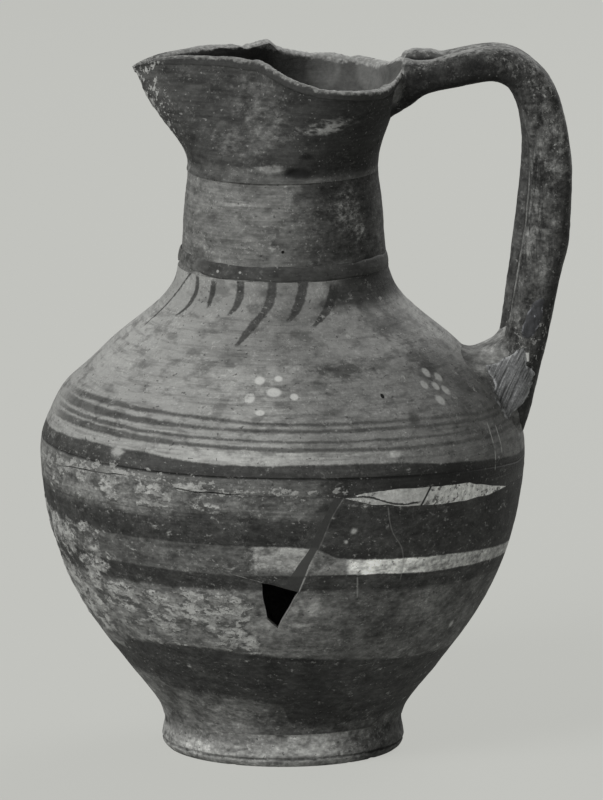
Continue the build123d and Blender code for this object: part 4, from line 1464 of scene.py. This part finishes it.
for piece, stands_for, slot, finishes in (
    (upper_body, ["upper_body"], "shoulder_clay", [shoulder_finish, clay_finish]),
    (lower_body, ["lower_body"], "bowl_clay", [bowl_finish, clay_finish]),
    (upper_sherd, ["belly_sherd_upper"], "sherd_clay", [bowl_finish, clay_finish]),
    (right_sherd, ["belly_sherd_right"], "sherd_clay", [bowl_finish, clay_finish]),
    (crack_fill, ["belly_crack_fill"], "pale_fill", [pale_filling()]),
    (fill_strip, ["belly_fill_strip"], "toned_fill", [toned_filling()]),
    (neck, ["neck"], "neck_clay", [neck_paint()]),
    (neck_ring, ["neck_ring"], "ring_clay", [ring_paint()]),
    (foot, ["foot"], "foot_clay", [foot_paint()]),
    (mouth, ["mouth"], "mouth_clay", [mouth_paint()]),
    (near_roll, ["handle_roll_near"], "handle_clay", [handle_finish]),
    (far_roll, ["handle_roll_far"], "handle_clay", [handle_finish]),
    (root_clay, ["handle_root_clay"], "root_clay", [root_clay_paint()]),
    (top_clay, [], "handle_clay", [top_joint_paint()]),
    (plaster, ["handle_plaster_patch"], "rough_plaster", [plaster_paint()]),
    (skim, [], "rough_plaster", [skim_paint()]),
):
    finish_piece(piece, stands_for, slot, *finishes)


# Pale floor, and the same plain grey beyond it
floor_reach = 9000
plain_grey = (0.548, 0.553, 0.522, 1.0)
floor_corners = [(x * floor_reach, y * floor_reach, 0) for x, y in ((-1, -1), (1, -1), (1, 1), (-1, 1))]
floor = mesh_object("floor", floor_corners, [(0, 1, 2, 3)])


def seen_directly():
    """1 for rays from the camera, also through glass or by way of a mirror."""
    names = ("Is Camera Ray", "Is Glossy Ray", "Is Transmission Ray")
    return most(*[made("LightPath", [], output=name) for name in names])


paper = started(bpy.data.materials.new("pale_paper"))
lit = made("BsdfDiffuse", [("Color", (0.55, 0.555, 0.535, 1.0))])
glow = made("Emission", [("Color", plain_grey), ("Strength", 1.0)])
both = made("MixShader", [(0, seen_directly() * 0.85), (1, lit), (2, glow)])
made("OutputMaterial", [("Surface", both)])
floor.data.materials.append(paper)

# Soft key light from the left, front and above, a weak light from behind, and a weak even fill

def soft_light(name, turn, rise, distance, size, energy):
    """A square light at this azimuth and rise in degrees, aimed at the jug."""
    light = placed(name, bpy.data.lights.new(name, "AREA"))
    light.data.shape = "SQUARE"
    light.data.size = size
    light.data.energy = energy
    rise = math.radians(rise)
    way = way_at(turn) * math.cos(rise) + Vector((0, 0, math.sin(rise)))
    light.location = aim + distance * way
    light.rotation_euler = way.to_track_quat("Z", "Y").to_euler()


soft_light("key", turn=-40, rise=33, distance=2.2, size=0.9, energy=39)
soft_light("back", turn=150, rise=36, distance=2.4, size=1.4, energy=34)

world = started(bpy.data.worlds.new("fill"))
bpy.context.scene.world = world
fill = made("Background", [("Color", (1.0, 1.0, 1.0, 1.0)), ("Strength", 0.19)])
beyond = made("Background", [("Color", plain_grey), ("Strength", 0.98)])
both = made("MixShader", [(0, seen_directly()), (1, fill), (2, beyond)])
made("OutputWorld", [("Surface", both)])

bpy.context.scene.view_settings.view_transform = "Standard"
